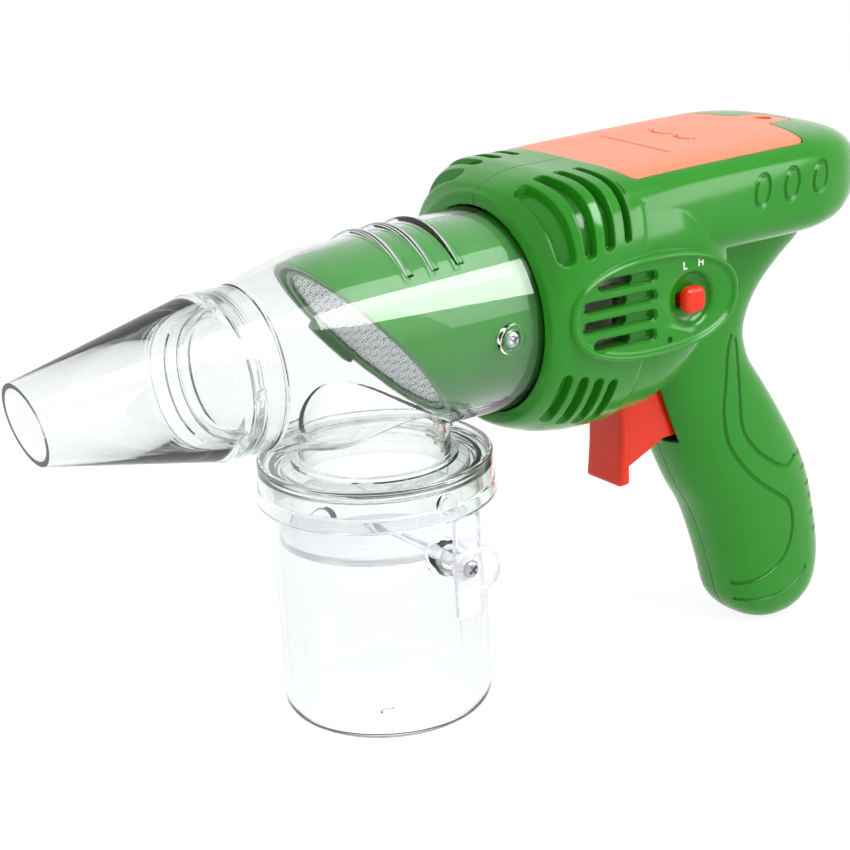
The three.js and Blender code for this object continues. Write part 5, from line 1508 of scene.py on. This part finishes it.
def screw_piece(name, reach):
    """A crosshead screw that points down from its seat at zero"""
    head = [(SCREW.height * up, SCREW.head * out) for up, out in HEAD_SHARES]
    outline = [
        (-reach, 0), (-reach, SCREW.point), (-reach + SCREW.point, SCREW.radius), (0, SCREW.radius),
        (0, SCREW.head), *head, (SCREW.height, 0),
    ]
    screw = turned(name, rounded(outline, SCREW.edge, 2), "Z", 48)
    arm, thin, low, top = SCREW.arm, SCREW.thin, SCREW.cross_low, SCREW.cross_top
    cut(screw, block("cross", -arm, arm, -thin, thin, low, top))
    return cut(screw, block("cross", -thin, thin, -arm, arm, low, top))


def placed_screw(name, reach, turn, place, body, node):
    screw = screw_piece(name, reach)
    screw.data.transform(Matrix.Translation(place) @ turn)
    return settled(screw, body, FINISHES["screw"], [node], angle=25)


def knob_piece(s):
    """A domed square button with soft corners on a stem"""
    face = panel_face(s)
    x, z = panel_place(s, DISH_SHARE)
    back = KNOB.back - face
    wide, tall = KNOB.half_width, KNOB.half_height
    corners = [(x + wide, z + tall), (x - wide, z + tall), (x - wide, z - tall), (x + wide, z - tall)]
    button = prism("knob", rounded(corners, KNOB.corner, 8), "Y", -face - KNOB.proud, back)
    bevelled(button, KNOB.edge, 6, 60)
    wide, tall = KNOB_STEM.half_width, KNOB_STEM.half_height
    stem = block("stem", x - wide, x + wide, back - KNOB_STEM.overlap, KNOB_STEM.inner, z - tall, z + tall)
    return join(button, stem)


def trigger_piece(steps=24):
    """A curved pad with a narrower web behind it"""
    top, low = TRIGGER.top, TRIGGER.pad_low
    pad_outline = []
    for i in range(steps + 1):
        share = i / steps
        hollow = TRIGGER.hollow * math.sin(math.pi * share)
        pad_outline.append((TRIGGER.front + hollow, top + (low - top) * share))
    pad_outline += [(TRIGGER.pad_rear, low), (TRIGGER.pad_rear, top)]
    pad = prism("pad", pad_outline, "Y", -TRIGGER.pad_half, TRIGGER.pad_half)
    bevelled(pad, TRIGGER.pad_edge, 5, 50)
    web_outline = [
        (TRIGGER_WEB.front, top), (TRIGGER_WEB.front, TRIGGER_WEB.front_low),
        (TRIGGER_WEB.rear_x, TRIGGER_WEB.low), (TRIGGER.rear, TRIGGER_WEB.low), (TRIGGER.rear, top),
    ]
    web = prism("web", web_outline, "Y", -TRIGGER.web_half, TRIGGER.web_half)
    join(pad, bevelled(web, TRIGGER.web_edge, 3, 50))
    x, z = TRIGGER.pivot_x, TRIGGER.pivot_z
    cut(pad, bar("pivot_hole", "Y", -FAR, FAR, TRIGGER_PIN.hole, x, z, 32))
    reach, wide = TRIGGER_PIN.spring_room, TRIGGER_PIN.spring_half
    return cut(pad, block("spring_room", x - reach, FAR, -wide, wide, z - reach, FAR))


def trigger_pin():
    long, x, z = TRIGGER_PIN.half_length, TRIGGER.pivot_x, TRIGGER.pivot_z
    pin = bar("trigger_pin_smooth", "Y", -long, long, TRIGGER_PIN.radius, x, z, 32)
    return bevelled(pin, TRIGGER_PIN.edge, 2)


def letter(name, text, x, s):
    """A printed letter on the panel above the knob"""
    bpy.ops.object.select_all(action="DESELECT")
    bpy.ops.object.text_add()
    obj = bpy.context.object
    obj.data.body = text
    obj.data.size = LETTER.size
    obj.data.extrude = LETTER.thickness
    obj.data.offset = LETTER.bold
    obj.data.align_x = "CENTER"
    only(obj)
    bpy.ops.object.convert(target="MESH")
    obj = named(name)
    face = panel_face(s) - PANEL.set_in
    turn = Matrix.Rotation(math.pi / 2, 4, "X")
    obj.data.transform(Matrix.Translation((x, -face - LETTER.sunk, LETTER.z)) @ turn)
    return settled(obj, "body", FINISHES["white"])


# Operators

SEAM = GAP / 2
LABEL_RADIUS = 0.5 * MM
LABEL_STEPS = 12
THUMB_MARK = sizes(depth=2.3, reach=4.4, radius=0.85)
THUMB_MARK_STEPS = 16
INSIDE_FINISHES = {
    "steel": [
        "trigger_spring", "motor", "motor_shaft", "contact_front", "contact_left", "contact_rear",
        "contact_right_front", "contact_right_rear",
    ],
    "ivory": ["motor_mount", "fan", "fan_shroud"],
    "dark": ["battery_tray", "speed_switch", "trigger_switch"],
    "cell": ["battery_1", "battery_2", "battery_3", "battery_4"],
}


class BodyOperator(bpy.types.Operator):
    """Makes both green shells with their louvres, panels and lines"""

    bl_idname = "bug_vacuum.shells"
    bl_label = "Green Shells"

    def execute(self, context):
        s = context.scene.bug_body
        left = whole_body(s)
        right = copied(left, "shell_right_smooth")
        left.name = "shell_left_smooth"
        common(left, block("half", -FAR, FAR, -FAR, -SEAM, -FAR, FAR))
        common(right, block("half", -FAR, FAR, SEAM, FAR, -FAR, FAR))
        settled(left, "body", FINISHES["green"], ["shell_left"])
        settled(right, "body", FINISHES["green"], ["shell_right"])
        turn = Matrix.Rotation(-math.pi / 2, 4, "X")
        for i, (x, z) in enumerate(post_places(s), 1):
            place = (x, POST.screw_seat, z)
            placed_screw(f"case_screw_smooth_{i}", POST.screw, turn, place, "body", f"case_screw_{i}")
        return {"FINISHED"}


def door_lines(door):
    """Cutters for the bare label corner and the two thumb marks"""
    label = []
    for (x0, y0), (x1, y1) in zip(DOOR_LABEL, DOOR_LABEL[1:]):
        for i in range(LABEL_STEPS):
            share = i / LABEL_STEPS
            label.append(((x0 + (x1 - x0) * share) * MM, (y0 + (y1 - y0) * share) * MM))
    label.append((x1 * MM, y1 * MM))
    lines = [wire_through("label_line", laid_on_top(door, label), LABEL_RADIUS)]
    for x, y in THUMB_MARKS:
        arc = []
        for i in range(THUMB_MARK_STEPS + 1):
            angle = math.radians(-15 + 210 * i / THUMB_MARK_STEPS)
            u, v = THUMB_MARK.depth * math.sin(angle), THUMB_MARK.reach * math.cos(angle)
            arc.append((x * MM - u, y * MM + v))
        lines.append(wire_through("thumb_mark", laid_on_top(door, arc), THUMB_MARK.radius))
    return lines


class DoorOperator(bpy.types.Operator):
    """Makes the orange battery door with its pressed lines and its screw"""

    bl_idname = "bug_vacuum.door"
    bl_label = "Battery Door"

    def execute(self, context):
        s = context.scene.bug_body
        door = rear_loft("door", 0, s)
        common(door, door_tool(-GAP, s))
        cut(door, *door_lines(door))
        cut(door, rear_loft("door_inside", s.door_thickness, s, COARSE, 0))
        top = s.box_middle + s.box_above * CUP_TOP_SHARE
        cup_low = top - s.door_thickness - DOOR.cup_drop
        seat = cup_low + DOOR.cup_floor
        join(door, bar("cup", "Z", cup_low, top - DOOR.cup_top, DOOR.cup_radius, DOOR.screw_x, 0))
        cut(door, bar("screw_well", "Z", seat, FAR, DOOR.well_radius, DOOR.screw_x, 0))
        cut(door, bar("screw_hole", "Z", 0, FAR, DOOR.screw_hole, DOOR.screw_x, 0, 24))
        door.name = "battery_door_smooth"
        settled(door, "battery_door", FINISHES["orange"], ["battery_door"])
        place = (DOOR.screw_x, 0, seat + GAP)
        placed_screw("door_screw_smooth", DOOR.screw, Matrix(), place, "battery_door", "door_screw")
        return {"FINISHED"}


class FrontOperator(bpy.types.Operator):
    """Makes the clear nozzle and chamber"""

    bl_idname = "bug_vacuum.front"
    bl_label = "Nozzle and Chamber"

    def execute(self, context):
        c, j = context.scene.bug_clear, context.scene.bug_jar
        nozzle = nozzle_piece(c)
        nozzle.name = "nozzle_smooth"
        settled(nozzle, "nozzle", FINISHES["clear"], ["nozzle_cone"])
        chamber = chamber_piece(c, j)
        chamber.name = "chamber_smooth"
        settled(chamber, "body", FINISHES["clear"], ["chamber_housing"])
        seat = chamber_boss_outside(c) - CHAMBER_BOSS.seat_depth + GAP
        for side, name in ((-1, "housing_screw_left"), (1, "housing_screw_right")):
            turn = Matrix.Rotation(-math.pi / 2 * side, 4, "X") @ Matrix.Rotation(HOUSING_SCREW_TURN, 4, "Z")
            place = (CHAMBER_BOSS.x, side * seat, 0)
            placed_screw(name + "_smooth", SCREW.reach, turn, place, "body", name)
        return {"FINISHED"}


class FilterOperator(bpy.types.Operator):
    """Makes the green duct, the woven mesh and the ring that holds it"""

    bl_idname = "bug_vacuum.filter"
    bl_label = "Duct and Mesh"

    def execute(self, context):
        c = context.scene.bug_clear
        duct = duct_piece(c)
        duct.name = "duct_smooth"
        settled(duct, "body", FINISHES["duct"], ["filter_duct"])
        settled(mesh_piece(c), "body", FINISHES["mesh"], ["filter_mesh"])
        settled(ring_piece(c), "body", FINISHES["duct"], ["mesh_ring"])
        return {"FINISHED"}


class JarOperator(bpy.types.Operator):
    """Makes the jar, its trap door with the lever, and the collar"""

    bl_idname = "bug_vacuum.jar"
    bl_label = "Jar and Collar"

    def execute(self, context):
        c, j = context.scene.bug_clear, context.scene.bug_jar
        settled(jar_piece(j), "jar", FINISHES["clear"], ["jar"], False)
        settled(gate_mark(j), "jar", FINISHES["clear"], (), False)
        disc = disc_piece(j)
        disc.name = "trap_door_smooth"
        settled(disc, "trap_door", FINISHES["lilac"], ["trap_door"], False)
        lever = lever_piece(j)
        lever.name = "gate_lever_smooth"
        settled(lever, "trap_door", FINISHES["lilac"], ["gate_lever"], False)
        turn = Matrix.Rotation(math.pi / 2, 4, "X") @ Matrix.Rotation(GATE_SCREW_TURN, 4, "Z")
        place = (0, -j.radius - j.boss_reach - LEVER.screw_seat - GAP, j.axle_height - AXIS_HEIGHT)
        placed_screw("gate_screw_smooth", SCREW.reach, turn, place, "trap_door", "gate_screw")
        collar = collar_piece(c, j)
        collar.name = "jar_collar_smooth"
        settled(collar, "body", FINISHES["clear"], ["jar_collar"], False)
        settled(collar_pin(c, j), "body", FINISHES["copper"], ["collar_pin"], False)
        return {"FINISHED"}


class ControlOperator(bpy.types.Operator):
    """Makes the trigger, the speed knob and the marks round it"""

    bl_idname = "bug_vacuum.controls"
    bl_label = "Trigger and Knob"

    def execute(self, context):
        s = context.scene.bug_body
        trigger = trigger_piece()
        trigger.name = "trigger_smooth"
        settled(trigger, "trigger", FINISHES["red"], ["trigger"])
        knob = knob_piece(s)
        knob.name = "speed_knob_smooth"
        settled(knob, "speed_knob", FINISHES["red"], ["speed_knob"])
        settled(trigger_pin(), "body", FINISHES["steel"], ["trigger_pin"])
        letter("mark_l", "L", LETTER.l_x, s)
        letter("mark_h", "H", LETTER.h_x, s)
        return {"FINISHED"}


class InsideOperator(bpy.types.Operator):
    """Gives the pieces inside the body their finishes"""

    bl_idname = "bug_vacuum.inside"
    bl_label = "Inside Finishes"

    def execute(self, context):
        for finish, names in INSIDE_FINISHES.items():
            for name in names:
                materials = frame["nodes"][name].data.materials
                materials.clear()
                materials.append(FINISHES[finish])
        return {"FINISHED"}


# Studio

# Angles in degrees, distance in metres and lens in millimetres, as fitted to the photo
CAMERA = {"azimuth": -34.81, "elevation": 19.23, "roll": -2.98, "distance": 0.6856, "lens": 93.18}
CAMERA_TARGET = Vector((19.37 * MM, 0, 87.05 * MM))
SENSOR_WIDTH = 36
CLIP_START = 10 * MM
# Name, azimuth and elevation in degrees, distance, width and height in metres, and the setting of the power
LAMPS = [
    ("overhead", 20, 62, 1.1, 0.9, 0.6, "key"),
    ("window", 40, 30, 1.2, 0.8, 0.8, "window"),
    ("left", -80, 25, 1.3, 0.6, 0.6, "fill"),
]
LAMP_TARGET = Vector((30 * MM, 0, 100 * MM))
FLOOR_FINISH = {"Base Color": (0.9, 0.9, 0.9, 1), "Roughness": 0.8, "Specular IOR Level": 0.1}
FLOOR_GLOW, FLOOR_GLOW_SHARE = 1.12, 0.8
EVEN_LIGHT = (0.97, 0.985, 1, 1)
# Corners of the panels that the glossy pieces mirror, in millimetres
SOFTBOX = [
    (-55, -174, 394), (140, -144, 381), (185, -190, 340), (175, -262, 200), (150, -271, 217),
    (-52, -249, 330),
]
SIDE_BOX = [
    (206, -235, 225), (255, -235, 283), (322, -235, 258), (318, -235, 205), (290, -235, 126),
    (206, -235, 112),
]


def towards(azimuth, elevation):
    a, e = math.radians(azimuth), math.radians(elevation)
    return Vector((math.sin(a) * math.cos(e), -math.cos(a) * math.cos(e), math.sin(e)))


def camera_matrix():
    back = towards(CAMERA["azimuth"], CAMERA["elevation"])
    roll = math.radians(CAMERA["roll"])
    right = (-back).cross(Vector((0, 0, 1))).normalized()
    up = right.cross(-back)
    side = right * math.cos(roll) + up * math.sin(roll)
    top = -right * math.sin(roll) + up * math.cos(roll)
    turn = Matrix((side, top, back)).transposed().to_4x4()
    return STANCE @ Matrix.Translation(CAMERA_TARGET + back * CAMERA["distance"]) @ turn


def add_camera():
    bpy.ops.object.select_all(action="DESELECT")
    bpy.ops.object.camera_add()
    camera = bpy.context.object
    camera.name = "camera"
    camera.matrix_world = camera_matrix()
    camera.data.lens = CAMERA["lens"]
    camera.data.sensor_width = SENSOR_WIDTH
    camera.data.clip_start = CLIP_START
    bpy.context.scene.camera = camera


def add_lamp(name, azimuth, elevation, distance, width, height, power):
    bpy.ops.object.select_all(action="DESELECT")
    bpy.ops.object.light_add(type="AREA")
    lamp = bpy.context.object
    lamp.name = name
    back = towards(azimuth, elevation)
    turn = back.to_track_quat("Z", "Y").to_matrix().to_4x4()
    lamp.matrix_world = Matrix.Translation(LAMP_TARGET + back * distance) @ turn
    lamp.data.shape = "RECTANGLE"
    lamp.data.size = width
    lamp.data.size_y = height
    lamp.data.energy = power
    lamp.visible_glossy = False


def computed(nodes, links, operation, first, second):
    """A sum on two values, each a number or another node's result"""
    node = nodes.new("ShaderNodeMath")
    node.operation = operation
    for socket, value in zip(node.inputs, (first, second)):
        if isinstance(value, bpy.types.NodeSocket):
            links.new(value, socket)
        else:
            socket.default_value = value
    return node.outputs[0]


def white_rays(nodes, links):
    """One for a ray that leaves the camera, a mirror or a clear wall, and nought for even light"""
    rays = nodes.new("ShaderNodeLightPath").outputs
    seen = computed(nodes, links, "MAXIMUM", rays["Is Camera Ray"], rays["Is Transmission Ray"])
    seen = computed(nodes, links, "MAXIMUM", seen, rays["Is Glossy Ray"])
    direct = computed(nodes, links, "LESS_THAN", rays["Diffuse Depth"], 1)
    return computed(nodes, links, "MULTIPLY", seen, direct)


def add_floor(half):
    """A matt white floor that glows where the camera sees it"""
    bpy.ops.object.select_all(action="DESELECT")
    bpy.ops.mesh.primitive_plane_add(size=2)
    floor = named("floor")
    floor.data.transform(Matrix.Scale(half, 4))
    material, nodes, links, shader = fresh("white_floor")
    fill_in(shader, FLOOR_FINISH)
    glow = nodes.new("ShaderNodeEmission")
    glow.inputs["Strength"].default_value = FLOOR_GLOW
    share = computed(nodes, links, "MULTIPLY", white_rays(nodes, links), FLOOR_GLOW_SHARE)
    mixed(nodes, links, share, shader, glow, "Material Output")
    floor.data.materials.append(material)


def add_mirrored(name, corners, strength):
    """A glowing panel that only shows as a highlight on glossy pieces"""
    panel = outlined(name, [tuple(value * MM for value in corner) for corner in corners])
    material, nodes, links, _ = fresh(name + "_glow")
    glow = nodes.new("ShaderNodeEmission")
    glow.inputs["Strength"].default_value = strength
    links.new(glow.outputs["Emission"], nodes["Material Output"].inputs["Surface"])
    panel.data.materials.append(material)
    panel.visible_camera = False
    panel.visible_diffuse = False
    panel.visible_transmission = False
    panel.visible_shadow = False


def white_world(strength):
    """White where the camera sees it, and even light of some strength elsewhere"""
    world = bpy.data.worlds.new("studio")
    bpy.context.scene.world = world
    world.use_nodes = True
    nodes, links = world.node_tree.nodes, world.node_tree.links
    even_light = nodes["Background"]
    fill_in(even_light, {"Color": EVEN_LIGHT, "Strength": strength})
    white = nodes.new("ShaderNodeBackground")
    white.inputs["Color"].default_value = (1, 1, 1, 1)
    mixed(nodes, links, white_rays(nodes, links), even_light, white, "World Output")


class StudioOperator(bpy.types.Operator):
    """Makes the floor, the lamps, the world and the camera"""

    bl_idname = "bug_vacuum.studio"
    bl_label = "Studio"

    def execute(self, context):
        settings = context.scene.bug_studio
        add_floor(settings.floor)
        white_world(settings.world)
        for *lamp, power in LAMPS:
            add_lamp(*lamp, getattr(settings, power))
        add_mirrored("softbox", SOFTBOX, settings.softbox)
        add_mirrored("side_box", SIDE_BOX, settings.side_box)
        add_camera()
        context.scene.view_settings.view_transform = "Standard"
        return {"FINISHED"}


class BugVacuumPanel(bpy.types.Panel):
    """Lists the steps that build the toy bug vacuum"""

    bl_idname = "VIEW3D_PT_bug_vacuum"
    bl_label = "Bug Vacuum"
    bl_space_type = "VIEW_3D"
    bl_region_type = "UI"
    bl_category = "Bug Vacuum"

    def draw(self, context):
        for step in STEPS:
            self.layout.operator(step.bl_idname)


GROUPS = {
    "bug_body": BodySizes, "bug_clear": ClearSizes, "bug_jar": JarSizes, "bug_finishes": Finishes,
    "bug_studio": StudioSettings,
}
STEPS = (
    StudioOperator, BodyOperator, DoorOperator, FrontOperator, FilterOperator, JarOperator, ControlOperator,
    InsideOperator,
)


def register():
    for group in (*GROUPS.values(), *STEPS, BugVacuumPanel):
        bpy.utils.register_class(group)
    for name, group in GROUPS.items():
        setattr(bpy.types.Scene, name, bpy.props.PointerProperty(type=group))


def unregister():
    for name in GROUPS:
        delattr(bpy.types.Scene, name)
    for group in (BugVacuumPanel, *reversed(STEPS), *GROUPS.values()):
        bpy.utils.unregister_class(group)


def main():
    register()
    FINISHES.update(finish_table(bpy.context.scene.bug_finishes))
    for step in STEPS:
        group, name = step.bl_idname.split(".")
        getattr(getattr(bpy.ops, group), name)()


if __name__ == "__main__":
    main()
